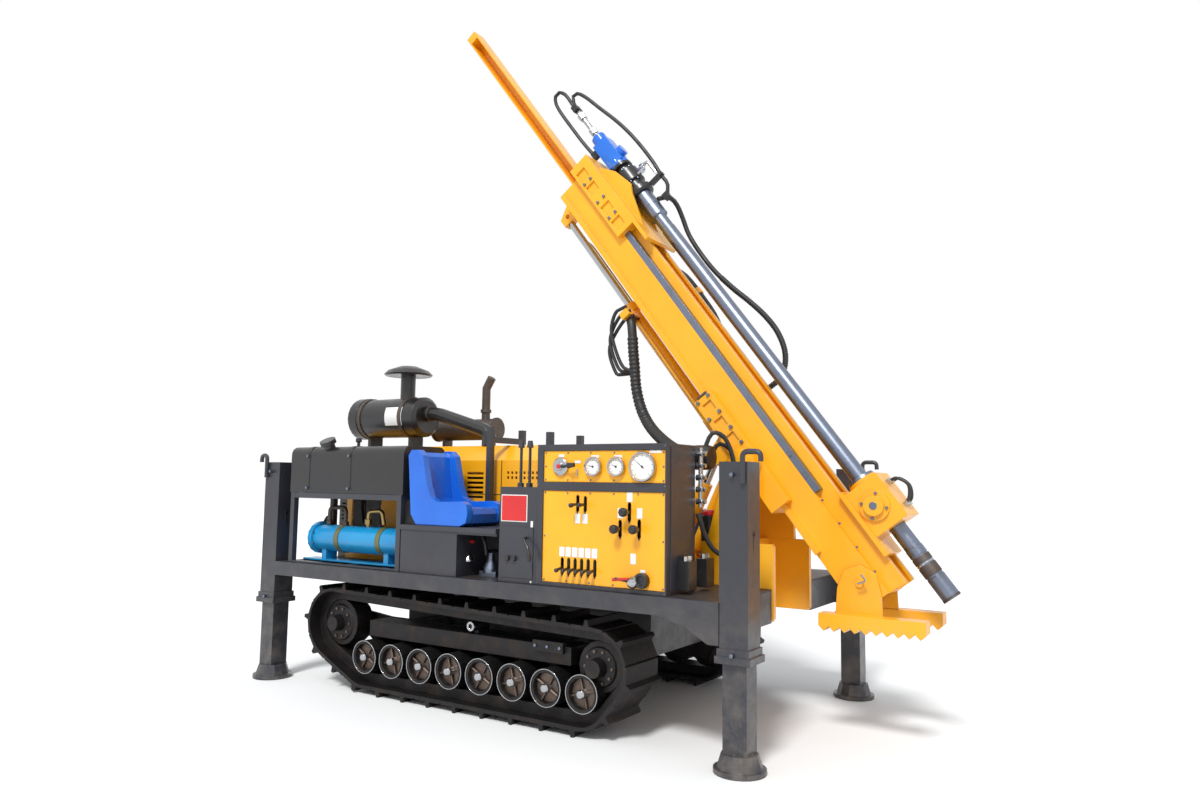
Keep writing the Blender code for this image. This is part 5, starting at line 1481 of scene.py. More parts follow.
def make_carrier(parent):
    """Guide housings over the mast's back flanges, joined behind it, with trunnions and ears."""
    flange_side = MAST_HALF + FLANGE_OUT
    shapes = [box((CARRIER_BACK, -CARRIER_HALF, CARRIER_LOW), (-SLIDE_GAP, CARRIER_HALF, CARRIER_TOP))]
    windows = []
    for side in (-1, 1):
        shapes.append(slab(side, (CARRIER_BACK + 0.002, CARRIER_LIP),
                           (flange_side + SLIDE_GAP, CARRIER_HALF), (CARRIER_LOW, CARRIER_TOP)))
        shapes.append(slab(side, (FLANGE_DEEP + SLIDE_GAP, CARRIER_LIP - 0.001),
                           (MAST_HALF + SLIDE_GAP, CARRIER_HALF - BOOLEAN_OVERLAP),
                           (CARRIER_LOW + 0.001, CARRIER_TOP - 0.001)))
        y_low, y_high = pair(side, CARRIER_HALF - 0.012, CARRIER_HALF + 0.010)
        for middle in (0.155, 0.265, 0.380):
            windows.append(box((-0.020, y_low, middle - 0.030), (0.040, y_high, middle + 0.030)))
    shapes = [carved(fused(*shapes), *windows)]
    for side in (-1, 1):
        cheek = ring_points((0, 0), CHEEK_BOSS_R, 20, 340, 15)
        y_low, y_high = pair(side, CARRIER_HALF - 0.001, CARRIER_HALF + CHEEK)
        shapes.append(plate(cheek, y_low, y_high))
        y_low, y_high = pair(side, CARRIER_HALF - 0.02, SUPPORT_HALF + 0.020)
        shapes.append(bar((0, y_low, 0), (0, y_high, 0), TRUNNION_R, 24))
        for y in (EAR_Y - 0.029, EAR_Y + 0.029):
            lug = [(CARRIER_BACK + 0.01, EYE_Z - 0.08), (CARRIER_BACK + 0.01, EYE_Z + 0.08),
                   *ring_points((EYE_X, EYE_Z), 0.045, 120, 240, 7)]
            shapes.append(plate(lug, *pair(side, y - 0.006, y + 0.006)))
    for y in (-0.035, 0.035):
        shapes.append(box((SLIDE_X - 0.030, y - 0.006, SLIDE_PIN_Z - 0.04),
                          (CARRIER_BACK + 0.01, y + 0.006, SLIDE_PIN_Z + 0.04)))
    shapes.append(bar((SLIDE_X, -0.05, SLIDE_PIN_Z), (SLIDE_X, 0.05, SLIDE_PIN_Z), SLIDE_PIN_R, 12))
    piece("mast_carrier", fused(*shapes), "amber", parent)


# Places: the machine's own frame and the mast's, in the row frame at rest
ROOT = Matrix.Translation((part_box("fuel_tank")[0].x - RACK_X + TANK_OVERHANG, 0, 0))
MAST_FRAME = ROOT @ Matrix.Translation((MAST_X, 0, MAST_Z)) @ Matrix.Rotation(-MAST_LEAN, 4, "Y")
CHASSIS = ("chassis", ROOT)
CARRIER = ("carrier", MAST_FRAME)
MAST = ("mast", MAST_FRAME)
HEAD = ("head", MAST_FRAME)


def tube_mesh(path, radii, sides=12):
    """A closed round tube along the path, with a radius at each point."""
    shape = bmesh.new()
    rings = []
    side = None
    for index, (point, radius) in enumerate(zip(path, radii)):
        ahead = (path[min(index + 1, len(path) - 1)] - path[max(index - 1, 0)]).normalized()
        side = side or ahead.orthogonal()
        side = (side - ahead * side.dot(ahead)).normalized()
        up = ahead.cross(side)
        angles = [2 * math.pi * i / sides for i in range(sides)]
        rings.append([shape.verts.new(point + (side * math.cos(a) + up * math.sin(a)) * radius)
                      for a in angles])
    for first, second in zip(rings, rings[1:]):
        for i in range(sides):
            shape.faces.new((first[i], first[(i + 1) % sides], second[(i + 1) % sides], second[i]))
    shape.faces.new(rings[0][::-1])
    shape.faces.new(rings[-1])
    bmesh.ops.recalc_face_normals(shape, faces=shape.faces)
    return from_bmesh(shape)


def ribbed(path, radius, pitch, depth=0.12, sides=14):
    """A corrugated sleeve along a path, its radius rising and falling."""
    points = []
    for start, end in zip(path, path[1:]):
        steps = max(1, round((end - start).length / (pitch / 4)))
        points += [start.lerp(end, step / steps) for step in range(steps)]
    points.append(path[-1])
    radii = [radius * (1 + depth * (0, 1, 1, 0)[i % 4]) for i in range(len(points))]
    return tube_mesh(points, radii, sides)


# The sleeve of hoses from the slide cylinder down to the control cabinet, in the mast's frame
TILT_ROUTE = ((-0.095, -0.036, 1.190), (-0.095, -0.070, 1.190), (-0.097, -0.120, 1.170),
              (-0.112, -0.138, 1.115), (-0.148, -0.140, 1.055), (-0.194, -0.140, 0.985),
              (-0.245, -0.140, 0.900), (-0.305, -0.140, 0.805), (-0.345, -0.150, 0.700),
              (-0.352, -0.185, 0.595), (-0.330, -0.245, 0.490), (-0.285, -0.325, 0.380),
              (-0.228, -0.415, 0.275), (-0.1812, -0.490, 0.2090), (-0.1592, -0.5197, 0.1590),
              (-0.1592, -0.5780, 0.1590))
# The hose from the power head down to the mast's far side, in the mast's frame
FEED_ROUTE = ((0.452, 0.008, 1.705), (0.480, 0.032, 1.698), (0.505, 0.075, 1.680), (0.498, 0.125, 1.645),
              (0.470, 0.155, 1.570), (0.435, 0.165, 1.460), (0.420, 0.170, 1.320), (0.420, 0.175, 1.160),
              (0.440, 0.185, 1.000), (0.468, 0.200, 0.860), (0.485, 0.215, 0.730), (0.482, 0.225, 0.610),
              (0.450, 0.230, 0.500), (0.395, 0.232, 0.425), (0.325, 0.232, 0.385), (0.255, 0.226, 0.380),
              (0.200, 0.205, 0.385), (0.160, 0.182, 0.390), (0.130, 0.160, 0.390))
# Short hoses between the deck's units, in the machine's frame: radius and route
DECK_HOSES = (
    (0.013, ((1.286, -0.580, 1.130), (1.300, -0.575, 1.090), (1.310, -0.556, 1.030), (1.345, -0.520, 0.950),
             (1.395, -0.451, 0.900), (1.420, -0.400, 0.850), (1.400, -0.330, 0.800),
             (1.340, -0.270, 0.790))),
    (0.010, ((0.048, -0.790, 0.985), (0.070, -0.800, 0.955), (0.087, -0.800, 0.915),
             (0.090, -0.795, 0.870))),
    (0.016, ((-1.300, -0.700, 0.980), (-1.345, -0.690, 1.020), (-1.390, -0.680, 0.990),
             (-1.405, -0.670, 0.900), (-1.395, -0.660, 0.820))),
    (0.012, ((1.230, -0.350, 1.400), (1.270, -0.330, 1.480), (1.330, -0.300, 1.470), (1.360, -0.285, 1.380),
             (1.340, -0.280, 1.250), (1.300, -0.280, 1.120))),
    (0.012, ((1.210, -0.420, 1.380), (1.260, -0.400, 1.520), (1.330, -0.370, 1.530), (1.375, -0.340, 1.400),
             (1.370, -0.320, 1.200), (1.330, -0.300, 1.000))),
)


def thin_hose(route, radius, spacing=0.02):
    """A tube with eight sides along a smooth route."""
    spots = smooth(route, spacing)
    return tube_mesh(spots, [radius] * len(spots), 8)


def free_hose(name, route, radius, bare):
    """A hose that hangs between two bodies, bare over its upper share, in a corrugated sleeve below."""
    path = [MAST_FRAME @ p for p in smooth(route, radius * 2)]
    hose = dressed(tube_mesh(path, [radius] * len(path)), name, "rubber")
    first = round(len(path) * bare)
    sleeve = dressed(ribbed(path[first:-1], radius * 1.06, radius * 0.9), name + "_sleeve", "rubber")
    for thing in (hose, sleeve):
        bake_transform(thing)


def make_hoses():
    """The free hoses first, then the ones that one body holds from end to end."""
    free_hose("tilt_hose", TILT_ROUTE, TILT_HOSE_R, 0.16)
    free_hose("feed_hose", FEED_ROUTE, FEED_HOSE_R, 0.42)
    make_mast_hoses(MAST)
    make_head_hoses(HEAD)

    lines = Form("carrier_hoses", "rubber", CARRIER)
    # Three thin hoses arch from the carrier into the sleeve: y offset, outward swing, start height
    for across, swing, start in ((-0.014, 0.030, 1.245), (0.004, 0.075, 1.215), (0.016, 0.115, 1.180)):
        route = [(-0.060, -0.150 + across, start - 0.020), (-0.120, -0.150 + across, start),
                 (-0.190 - swing, -0.150 + across, start - 0.060),
                 (-0.250 - swing, -0.148 + across, start - 0.200),
                 (-0.275 - swing * 0.6, -0.145 + across, 0.930), (-0.262, -0.142 + across, 0.872)]
        lines.add(thin_hose(route, 0.011))
    lines.done()

    loops = Form("clamp_hoses", "rubber", MAST)
    for side, reach in ((-0.030, 0.105), (0.030, 0.080)):
        route = [(ROD_X + 0.100, side, -0.500), (ROD_X + 0.145, side, -0.505),
                 (ROD_X + 0.150 + reach * 0.3, side, -0.570), (ROD_X + 0.135, side, -0.630),
                 (ROD_X + 0.100, side, -0.640)]
        loops.add(thin_hose(route, 0.008, 0.012))
    loops.done()

    deck = Form("deck_hoses", "rubber", CHASSIS)
    for radius, route in DECK_HOSES:
        deck.add(thin_hose(route, radius))
    deck.done()


# The front of the panel's two plates
PANEL_FACE = -EQUIPMENT_OUT + PANEL_RECESS - SEAT_GAP - PANEL_SHEET


def make_gauges():
    """Bezels, white faces with ticks, needles, and the selector knob beside them."""
    rims = Form("gauge_bezels", "chrome", CHASSIS)
    faces = Form("gauge_faces", "white", CHASSIS)
    marks = Form("gauge_marks", "black", CHASSIS)
    for x, radius, deep in GAUGES:
        centre = Vector((PANEL_X + x, PANEL_FACE + 0.001, GAUGE_Z))
        rims.add(turned([(radius - 0.007, deep + 0.001), (radius - 0.005, deep + 0.007),
                         (radius + 0.002, deep + 0.005), (radius + 0.004, deep), (radius + 0.003, 0.010),
                         (radius - 0.006, 0.010), (radius - 0.007, deep + 0.001)], centre, (0, -1, 0), 32))
        faces.add(turned([(0, deep - 0.004), (radius - 0.0065, deep - 0.004), (radius - 0.0065, deep - 0.008),
                          (0, deep - 0.008)], centre, (0, -1, 0), 32))
        front = centre.y - deep + 0.0030
        for tick in range(11):
            angle = math.radians(225 - 27 * tick)
            outer = Vector((math.cos(angle), 0, math.sin(angle))) * (radius - 0.011)
            inner = outer * (0.80 if tick % 5 == 0 else 0.88)
            spot = Vector((centre.x, front, centre.z))
            marks.add(bar(spot + inner, spot + outer, 0.0009, 4))
        angle = math.radians(200 - x * 90)
        tip = Vector((math.cos(angle), 0, math.sin(angle))) * (radius - 0.018)
        spot = Vector((centre.x, front - 0.002, centre.z))
        marks.add(bar(spot - tip * 0.25, spot + tip, 0.0018, 4, 0.0006))
        marks.add(bar(spot + Vector((0, 0.002, 0)), spot + Vector((0, -0.002, 0)), 0.005, 10))
    centre = Vector((PANEL_X + SELECTOR[0], PANEL_FACE + 0.001, GAUGE_Z))
    rims.add(turned([(0, 0.030), (0.020, 0.030), (0.022, 0.022), (0.040, 0.022), (0.047, 0.016),
                     (0.047, 0.008), (0, 0.008)], centre, (0, -1, 0), 28))
    marks.add(bar(centre + Vector((0.020, -0.030, 0)), centre + Vector((0.075, -0.042, 0.004)), 0.009, 10,
                  0.006))
    marks.add(bar(centre + Vector((0.070, -0.046, 0.004)), centre + Vector((0.108, -0.046, 0.008)), 0.015,
                  12, 0.011))
    rims.add(bar(centre + Vector((0.105, -0.014, -0.010)), centre + Vector((0.106, -0.016, -0.046)), 0.004,
                 6))
    rims.done()
    faces.done()
    marks.done()
    gathered("selector_dot", "red", CHASSIS,
             bar(centre + Vector((0, -0.028, 0)), centre + Vector((0, -0.0325, 0)), 0.012, 16))


# Blank white tags on the control panel: x low, x high, z low, z high in the machine's frame
TAGS = (
    (0.641, 0.677, 1.406, 1.421), (0.842, 0.890, 1.401, 1.416), (0.978, 1.026, 1.401, 1.416),
    (1.180, 1.246, 1.424, 1.439), (0.742, 0.778, 1.374, 1.389),
    (1.055, 1.088, 1.185, 1.234), (1.003, 1.036, 1.104, 1.155), (1.113, 1.144, 1.106, 1.157),
    (1.079, 1.110, 0.885, 0.937), (0.749, 0.781, 1.070, 1.120), (0.795, 0.826, 1.070, 1.120),
    (1.135, 1.163, 0.846, 0.862), *((0.655 + 0.0397 * i, 0.688 + 0.0397 * i, 0.900, 0.949) for i in range(6)),
)


def make_panel_fittings():
    """Tags, screws, the levers' slots and ends, and the valve and port below them."""
    tags = Form("panel_tags", "white", CHASSIS)
    for x_low, x_high, z_low, z_high in TAGS:
        tags.add(box((x_low, PANEL_FACE - 0.0012, z_low), (x_high, PANEL_FACE + 0.001, z_high)))
    tags.done()
    screws = Form("panel_screws", "steel", CHASSIS)
    left, right = PANEL_X + PANEL_RIM + 0.012, PANEL_X + PANEL_LONG - 0.021
    for low, high in ((FLOOR + 0.032, PANEL_SPLIT - 0.042), (PANEL_SPLIT + 0.025, PANEL_TOP - 0.044)):
        spots = [(left + (right - left) * i / 5, z) for i in range(6) for z in (low, high)]
        spots += [(x, (low + high) / 2) for x in (left, right)]
        for x, z in spots:
            screws.add(bar((x, PANEL_FACE + 0.001, z), (x, PANEL_FACE - 0.004, z), 0.0055, 10, 0.0035))
    for x in (PANEL_X + 0.012, PANEL_X + PANEL_LONG - 0.004):
        for z in (FLOOR + 0.01, PANEL_SPLIT, PANEL_TOP - 0.012):
            screws.add(bar((x - 0.004, -EQUIPMENT_OUT + 0.001, z), (x - 0.004, -EQUIPMENT_OUT - 0.003, z),
                           0.004, 8))
    screws.done()
    slots = Form("lever_slots", "black", CHASSIS)
    for x, low, high, reach, rise, radius in LEVERS:
        middle = PANEL_X + x
        slots.add(box((middle - 0.004, PANEL_FACE - 0.001, low - 0.006),
                      (middle + 0.004, PANEL_FACE + 0.004, low + 0.002)))
        tip = Vector((middle, PANEL_FACE + 0.005 - reach, (low + high) / 2 + rise))
        slots.add(turned([(0, radius * 0.5), (radius * 0.7, radius * 0.35), (radius, -radius * 0.2),
                          (radius * 0.9, -radius), (0, -radius * 1.2)], tip, (0, -1, 0), 14))
    slots.done()
    gathered("panel_valve_handle", "red", CHASSIS,
             bar((1.010, PANEL_FACE - 0.050, 0.811), (1.098, PANEL_FACE - 0.046, 0.820), 0.009, 10, 0.006))
    gathered("panel_valve", "chrome", CHASSIS,
             turned([(0, 0.058), (0.014, 0.055), (0.025, 0.044), (0.030, 0.030), (0.026, 0.014),
                     (0.018, 0.006), (0.018, -0.01), (0, -0.01)], Vector((1.109, PANEL_FACE, 0.802)),
                    (0, -1, 0), 20))
    gathered("panel_port", "black", CHASSIS,
             turned([(0, 0.018), (0.022, 0.018), (0.024, 0.030), (0.036, 0.030), (0.038, 0.020), (0.038, 0),
                     (0, 0)], Vector((1.150, PANEL_FACE, 0.812)), (0, -1, 0), 20))


def make_console_fittings():
    """Red label, tags, side lever, two buttons and the door."""
    y = -EQUIPMENT_OUT
    gathered("console_label", "red", CHASSIS, box((0.279, y - 0.003, 1.070), (0.444, y + 0.002, 1.203)))
    gathered("console_tags", "white", CHASSIS, box((0.274, y - 0.0018, 1.065), (0.449, y + 0.002, 1.208)),
             box((0.473, y - 0.002, 1.005), (0.488, y + 0.002, 1.072)),
             bar((0.481, y + 0.001, 0.757), (0.481, y - 0.003, 0.757), 0.006, 10))
    black = Form("console_lever", "black", CHASSIS)
    black.add(pipe([(0.449, y + 0.002, 0.983), (0.449, y - 0.030, 0.983), (0.489, y - 0.042, 0.933),
                    (0.504, y - 0.050, 0.893)], 0.007, 2, 0.012),
              bar((0.499, y - 0.048, 0.905), (0.507, y - 0.052, 0.868), 0.012, 12, 0.010))
    for x in (0.328, 0.372):
        black.add(turned([(0, 0.022), (0.014, 0.020), (0.015, 0.010), (0.010, 0.008), (0.010, -0.002),
                          (0, -0.002)], Vector((x, y, 0.873)), (0, -1, 0), 14))
    black.done()
    gathered("console_door", "charcoal", CHASSIS,
             box((CONSOLE_X + 0.018, y - 0.004, FLOOR + 0.025), (PANEL_X - 0.018, y + 0.002, 1.040)))


def make_cabinet_side():
    """What is fastened to the cabinet's front-facing side and stands beside it."""
    x = PANEL_X + PANEL_LONG
    gathered("cabinet_side_sheet", "charcoal", CHASSIS,
             box((x - 0.002, -0.860, FLOOR + 0.015), (x + 0.004, -0.620, PANEL_TOP - 0.015)))
    silver = Form("cabinet_fittings", "chrome", CHASSIS)
    black = Form("cabinet_blocks", "black", CHASSIS)
    red = Form("cabinet_caps", "red", CHASSIS)
    for z in (1.430, 1.370, 1.310, 1.250, 1.190):
        silver.add(bar((x, -0.580, z), (x + 0.034, -0.580, z), 0.017, 6),
                   bar((x + 0.030, -0.580, z), (x + 0.052, -0.580, z), 0.011, 12))
    silver.add(bar((x + 0.022, -0.580, 1.160), (x + 0.022, -0.580, 1.462), 0.012, 12))
    for y in (-0.740, -0.543):
        black.add(box((x, y - 0.042, 0.765), (x + 0.060, y + 0.042, 0.905)))
        for shift in (-0.022, 0.022):
            silver.add(bar((x + 0.030, y + shift, 0.900), (x + 0.030, y + shift, 0.928), 0.014, 6))
    black.add(turned([(0, 0.148), (0.046, 0.146), (0.048, 0.120), (0.048, 0.010), (0.040, 0), (0, 0)],
                     Vector((1.170, -0.200, 0.960)), sides=20))
    red.add(turned([(0, 0.030), (0.030, 0.028), (0.040, 0.018), (0.040, 0), (0, 0)],
                   Vector((1.170, -0.200, 1.108)), sides=20))
    black.add(turned([(0, 0.040), (0.060, 0.034), (0.066, 0.010), (0.066, -0.060), (0.040, -0.066),
                      (0, -0.066)], Vector((1.245, -0.400, 1.418)), (1, 0, 0), 22))
    silver.done()
    black.done()
    red.done()


def make_running_gear():
    """Rims, dishes with ribs and hubs on the rollers, bolt circles on the sprockets and idlers, and bolts on
    the track frames.
    """
    for side, end in ((-1, "right"), (1, "left")):
        middle = side * TRACK_MID_Y
        rims = Form("roller_rims_" + end, "chrome", CHASSIS)
        dishes = Form("roller_dishes_" + end, "dish", CHASSIS)
        radius = ROLLER_R
        for number in range(ROLLER_COUNT):
            x = FIRST_ROLLER_X + (LAST_ROLLER_X - FIRST_ROLLER_X) * number / (ROLLER_COUNT - 1)
            place = Vector((x, middle, ROLLER_Z))
            rims.add(turned([(radius - 0.007, 0.130), (radius - 0.006, 0.136), (radius - 0.002, 0.136),
                             (radius, 0.130), (radius - 0.007, 0.130)], place, (0, side, 0), 28))
            rims.add(turned([(0, 0.152), (0.018, 0.150), (0.024, 0.142), (0.026, 0.100), (0, 0.100)], place,
                            (0, side, 0), 18))
            for spoke in range(4):
                angle = math.radians(45 + 90 * spoke + x * 200)
                out = Vector((math.cos(angle), 0, math.sin(angle)))
                face = Vector((0, side * 0.112, 0))
                dishes.add(bar(place + face + out * 0.020, place + face + out * (radius - 0.010), 0.009, 6,
                               0.006))
            dishes.add(turned([(0, 0.104), (radius - 0.011, 0.103), (radius - 0.011, 0.098), (0, 0.098)],
                              place, (0, side, 0), 24))
        place = Vector((CARRIER_ROLLER_X, middle, CARRIER_ROLLER_Z))
        rims.add(turned([(0.012, 0.072), (0.014, 0.078), (0.026, 0.078), (CARRIER_ROLLER_R, 0.070),
                         (0.012, 0.072)], place, (0, side, 0), 20))
        for x, z, radius in ((SPROCKET_X, SPROCKET_Z, SPROCKET_R), (IDLER_X, IDLER_Z, IDLER_R)):
            near, far = middle + side * 0.080, middle + side * 0.096
            for bolt_x, bolt_z in ring_points((x, z), radius * 0.62, count=10):
                dishes.add(bar((bolt_x, near, bolt_z), (bolt_x, far, bolt_z), 0.009, 6))
        rims.done()
        dishes.done()
        bolts = Form("track_frame_bolts_" + end, "steel", CHASSIS)
        outer = middle + side * 0.085
        for x in (0.425, 0.505, 0.585):
            bolts.add(bar((x, outer - side * 0.004, 0.412), (x, outer + side * 0.008, 0.412), 0.009, 6))
        bolts.done()


def make_mast_fittings():
    """Bolts on housings and carriage, a pipe beside the slide cylinder, fittings at head and hoses."""
    bolts = Form("mast_bolts", "steel", MAST)
    for side in (-1, 1):
        y = side * (MAST_HALF - 0.002)
        for i in range(6):
            z = MAST_LOW + 0.120 + 0.145 * i
            bolts.add(bar((MAST_DEEP + 0.012, y, z), (MAST_DEEP + 0.012, y + side * 0.008, z), 0.007, 6))
    bolts.done()
    carrier = Form("carrier_bolts", "steel", CARRIER)
    for side in (-1, 1):
        y = side * CARRIER_HALF
        for z in (0.105, 0.210, 0.322, 0.438):
            for x in (-0.030, 0.046):
                carrier.add(bar((x, y - side * 0.002, z), (x, y + side * 0.012, z), 0.011, 6))
        for x, z in ring_points((0, 0), 0.058, 20, 380, 6):
            carrier.add(bar((x, side * (CARRIER_HALF + 0.018), z), (x, side * (CARRIER_HALF + 0.032), z),
                            0.009, 6))
    carrier.done()
    plates = Form("carrier_shims", "worn", CARRIER)
    for side in (-1, 1):
        plates.add(slab(side, (-0.020, 0.045), (MAST_HALF + 0.004, CARRIER_HALF + 0.006),
                        (CARRIER_TOP, CARRIER_TOP + 0.010)))
    plates.done()
    gathered("slide_oil_pipe", "brass", CARRIER,
             pipe([(SLIDE_X + 0.010, 0.062, 0.700), (SLIDE_X + 0.010, 0.062, 1.850),
                   (SLIDE_X, 0.030, 1.900)], 0.006, 2, 0.03))
    head = Form("carriage_bolts", "steel", HEAD)
    half = MAST_HALF + CARRIAGE_SIDE
    for side in (-1, 1):
        for z in (1.740, 1.880, 2.045):
            for x in (MAST_DEEP - 0.002, MAST_DEEP + 0.052):
                head.add(bar((x, side * (half - 0.002), z), (x, side * (half + 0.010), z), 0.010, 6))
    for radius, low, high in ((0.066, -0.168, -0.053), (0.060, 0.020, 0.042)):
        for x, y in ring_points((ROD_X, 0), radius, 10, 370, 8):
            head.add(bar((x, y, HEAD_TOP + low), (x, y, HEAD_TOP + high), 0.006, 6))
    head.done()
    gathered("spindle_collar", "steel", HEAD,
             band(0.050, 0.060, -0.020, 0.020, 0.002, (ROD_X, 0, 1.700)))
    silver = Form("head_fittings", "chrome", HEAD)
    for reach, y, drop in ((0.130, 0.020, 0.090), (0.120, -0.024, 0.140)):
        start = Vector((ROD_X + 0.062, y, HEAD_TOP - drop))
        end = Vector((ROD_X + reach, y, HEAD_TOP - drop))
        silver.add(bar(start, end, 0.013, 12), bar(start.lerp(end, 0.45), start.lerp(end, 0.8), 0.020, 6))
    silver.add(pipe([(ROD_X + 0.125, 0.020, HEAD_TOP - 0.090), (ROD_X + 0.150, 0.020, HEAD_TOP - 0.090),
                     (ROD_X + 0.150, 0.020, HEAD_TOP - 0.200)], 0.010, 2, 0.018))
    silver.done()
    clamps = Form("hose_connectors", "chrome", MAST)
    y = MAST_HOSE_Y
    for z in MAST_HOSE_ENDS:
        clamps.add(bar((0.146, y, z), (0.190, y, z - 0.004), 0.029, 8),
                   bar((0.185, y, z - 0.004), (0.202, y, z - 0.010), 0.033, 6))
    clamps.done()
    gathered("hose_clamp", "amber", MAST, bar((0.246, y, 1.130), (0.246, y, 1.170), 0.031, 16))


def make_barrel_bands():
    """Dark bands and a bright ring on the core barrel under the clamp."""
    string = ("string", MAST_FRAME)
    bands = Form("barrel_bands", "worn", string)
    for low, high in ((0.140, 0.196), (0.214, 0.246), (0.002, 0.014)):
        bands.add(band(ROD_R - 0.001, BIT_R + 0.0012, low, high, 0, (ROD_X, 0, BIT_Z)))
    bands.done()
    gathered("barrel_ring", "chrome", string,
             band(ROD_R - 0.001, BIT_R + 0.0008, 0.201, 0.209, 0, (ROD_X, 0, BIT_Z)))


def make_clamp_fittings():
    """Ring and side bolts of the rod clamp, its hose ends, and the foot pin's key."""
    middle = (CLAMP_LOW + CLAMP_TOP) / 2
    dark = Form("clamp_ring", "steel", MAST)
    dark.add(turned([(0.048, 0.044), (0.072, 0.042), (0.076, 0.026), (0.048, 0.024), (0.048, 0.044)],
                    Vector((ROD_X, 0, CLAMP_TOP)), sides=28))
    for side in (-1, 1):
        for x, z in ring_points((ROD_X, middle), 0.064, 45, 405, 4):
            dark.add(bar((x, side * (CLAMP_HALF + 0.012), z), (x, side * (CLAMP_HALF + 0.024), z), 0.008, 6))
        dark.add(bar((ROD_X, side * (CLAMP_HALF + 0.032), middle),
                     (ROD_X, side * (CLAMP_HALF + 0.036), middle), 0.020, 16))
    dark.done()
    gathered("foot_pin_key", "chrome", MAST,
             pipe([(0.104, -MAST_HALF - 0.062, -0.835), (0.150, -MAST_HALF - 0.066, -0.850),
                   (0.150, -MAST_HALF - 0.066, -0.810)], 0.005, 2, 0.012))
    fittings = Form("clamp_fittings", "chrome", MAST)
    for z in (-0.500, -0.640):
        for side in (-0.030, 0.030):
            fittings.add(bar((ROD_X + 0.100, side, z), (ROD_X + 0.128, side, z), 0.014, 6))
    fittings.done()


def make_hood_fittings():
    """Seams and latches on the hood, label and bands on the air cleaner, clamps on duct and muffler."""
    y = HOOD_HALF
    dark = Form("hood_seams", "black", CHASSIS)
    for side in (-1, 1):
        for x in (-0.760, -0.100):
            dark.add(slab(side, (x, x + 0.005), (y - 0.002, y + 0.0015), (0.780, HOOD_SHOULDER_Z)))
        dark.add(slab(side, (HOOD_REAR + 0.010, HOOD_FRONT - 0.010), (y - 0.002, y + 0.0015), (1.196, 1.200)))
        for x in (-0.620, -0.460, -0.180, 0.200):
            dark.add(slab(side, (x, x + 0.022), (y - 0.002, y + 0.012), (1.150, 1.186)))
    dark.done()
    label = Form("cleaner_label", "white", CHASSIS)
    arc = ring_points((CLEANER_Y, CLEANER_Z), CLEANER_R + 0.0015, 152, 206, 9)
    arc += ring_points((CLEANER_Y, CLEANER_Z), CLEANER_R - 0.003, 206, 152, 9)
    label.add(plate(arc, CLEANER_END - 0.270, CLEANER_END - 0.115, "end"))
    label.done()
    bands = Form("cleaner_bands", "worn", CHASSIS)
    for x in (CLEANER_END - 0.540, CLEANER_END - 0.150):
        bands.add(band(CLEANER_R - 0.002, CLEANER_R + 0.006, -0.026, 0.006, 0.001,
                       (x + 0.025, CLEANER_Y, CLEANER_Z), (1, 0, 0)))
    for place, radius in (((CLEANER_END + 0.030, CLEANER_Y, CLEANER_Z + 0.020), DUCT_R),
                          ((-0.640, MUFFLER_Y, MUFFLER_Z), MUFFLER_R),
                          ((-1.185, MUFFLER_Y, MUFFLER_Z), MUFFLER_R)):
        bands.add(band(radius, radius + 0.007, -0.008, 0.008, 0.001, place, (1, 0, 0), 24))
    bands.add(band(0.030, 0.038, -0.012, 0.012, 0.001, (-0.742, MUFFLER_Y, 1.770), sides=20))
    bands.done()


def make_rear_fittings():
    """Tank's strap bolts and breather, cooler's bands, bolts and pipe, bell and handle in the bay."""
    top = RACK_TOP + SEAT_GAP + TANK_HIGH
    y = -EQUIPMENT_OUT
    worn = Form("tank_strap_bolts", "steel", CHASSIS)
    for x in (RACK_X + 0.156, RACK_X + 0.536):
        for z in (RACK_TOP + 0.030, top - 0.060):
            worn.add(bar((x, y - 0.001, z), (x, y - 0.012, z), 0.010, 6))
    worn.done()
    gathered("tank_breather", "black", CHASSIS,
             turned([(0, 0.060), (0.018, 0.058), (0.020, 0.036), (0.010, 0.030), (0.010, -0.006),
                     (0, -0.006)], Vector((RACK_X + 0.445, y + 0.150, top)), sides=14))
    middle = y + 0.170
    olive = Form("cooler_bands", "olive", CHASSIS)
    for x in (-1.130, -0.760):
        olive.add(band(COOLER_R - 0.001, COOLER_R + 0.004, -0.020, 0.020, 0.001, (x, middle, COOLER_Z),
                       (1, 0, 0)))
    olive.done()
    bolts = Form("cooler_bolts", "steel", CHASSIS)
    start, end = RACK_X + 0.050, RACK_END - 0.040
    for x in (start + 0.061, end - 0.059):
        for across, z in ring_points((middle, COOLER_Z), 0.094, 22, 382, 8):
            bolts.add(bar((x - 0.024, across, z), (x + 0.024, across, z), 0.006, 6))
    bolts.done()
    gathered("cooler_pipe", "brass", CHASSIS,
             pipe([(-0.930, middle, COOLER_Z + 0.080), (-0.930, middle, 1.075),
                   (-0.800, middle - 0.010, 1.085), (-0.780, middle - 0.010, 1.000)], 0.013, 3, 0.030),
             bar((-0.930, middle, COOLER_Z + 0.095), (-0.930, middle, COOLER_Z + 0.128), 0.024, 6))
    gathered("bay_bell", "chrome", CHASSIS,
             turned([(0, 0.055), (0.012, 0.054), (0.016, 0.040), (0.036, 0.014), (0.040, 0), (0.034, 0),
                     (0, 0.004)], Vector((-0.053, -0.780, 0.826)), sides=20))
    gathered("bay_handle", "red", CHASSIS, bar((-0.053, -0.780, 0.878), (-0.053, -0.780, 0.934), 0.007, 10),
             bar((-0.088, -0.780, 0.936), (-0.018, -0.780, 0.936), 0.009, 10))


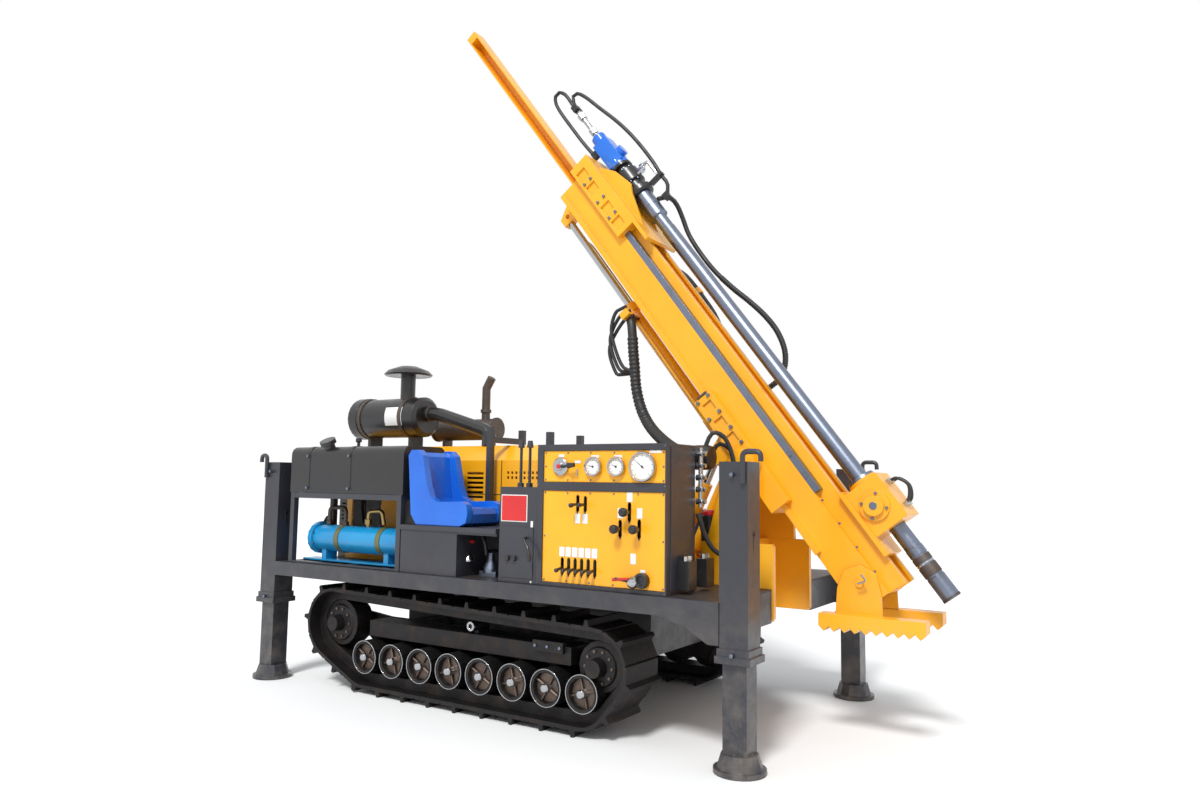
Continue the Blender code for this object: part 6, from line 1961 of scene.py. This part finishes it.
def make_leg_fittings():
    """Gussets on the feet, lock bolts on the sleeves, and keyhole slots painted as black shade on the
    sleeves.
    """
    for name in LEGS:
        x, y = leg_place(name)
        ribs = Form("foot_gussets_" + name, "charcoal", ("leg_" + name, ROOT))
        half = POST_SIZE / 2
        for across_x, across_y in ((1, 0), (-1, 0), (0, 1), (0, -1)):
            out = Vector((across_x, across_y, 0))
            foot = Vector((x, y, FOOT_PLATE - 0.002))
            width = Vector((-across_y, across_x, 0)) * 0.004
            near, far = foot + out * (half - 0.002), foot + out * (FOOT_R - 0.030)
            shape = bmesh.new()
            corners = [near, far, near + Vector((0, 0, 0.075))]
            front = [shape.verts.new(c + width) for c in corners]
            back = [shape.verts.new(c - width) for c in corners]
            shape.faces.new(front)
            shape.faces.new(back[::-1])
            for i in range(3):
                shape.faces.new((front[i], back[i], back[(i + 1) % 3], front[(i + 1) % 3]))
            bmesh.ops.recalc_face_normals(shape, faces=shape.faces)
            ribs.add(from_bmesh(shape))
        ribs.done()
    # The keyhole slots are flat black shapes on the sleeves' faces: painted shade where the real slots are
    # open.
    slots = Form("sleeve_slot_shade", "black", CHASSIS)
    bolts = Form("sleeve_bolts", "steel", CHASSIS)
    for name, (_, across) in LEGS.items():
        x, y = leg_place(name)
        face = x + SLEEVE_SIZE / 2
        slots.add(box((face - 0.004, y - 0.007, 0.980), (face + 0.0012, y + 0.007, 1.060)),
                  bar((face - 0.004, y, 1.060), (face + 0.0012, y, 1.060), 0.014, 14))
        for z in (SLEEVE_LOW + 0.020, SLEEVE_TOP - 0.060):
            out = y + across * SLEEVE_SIZE / 2
            bolts.add(bar((x, out - across * 0.002, z), (x, out + across * 0.026, z), 0.010, 6))
    slots.done()
    bolts.done()


set_camera()
set_stage()
finish_nodes()
make_hoses()
make_deck(CHASSIS)
for side in (-1, 1):
    make_track_loop(side, CHASSIS)
    make_track_frame(side, CHASSIS)
for name in LEGS:
    make_sleeve(name, CHASSIS)
make_support(CHASSIS)
make_rest(CHASSIS)
make_engine(CHASSIS)
make_cooling(CHASSIS)
make_breathing(CHASSIS)
make_rack(CHASSIS)
make_hydraulic_tank(CHASSIS)
make_seat(CHASSIS)
make_console(CHASSIS)
make_panel(CHASSIS)
make_carrier(CARRIER)
make_slide_cylinder(CARRIER, MAST)
make_mast(MAST)
make_clamp(MAST)
make_carriage(HEAD)
make_head(HEAD)
make_string(("string", MAST_FRAME))
make_gauges()
make_panel_fittings()
make_console_fittings()
make_cabinet_side()
make_running_gear()
make_mast_fittings()
make_barrel_bands()
make_clamp_fittings()
make_hood_fittings()
make_rear_fittings()
make_leg_fittings()
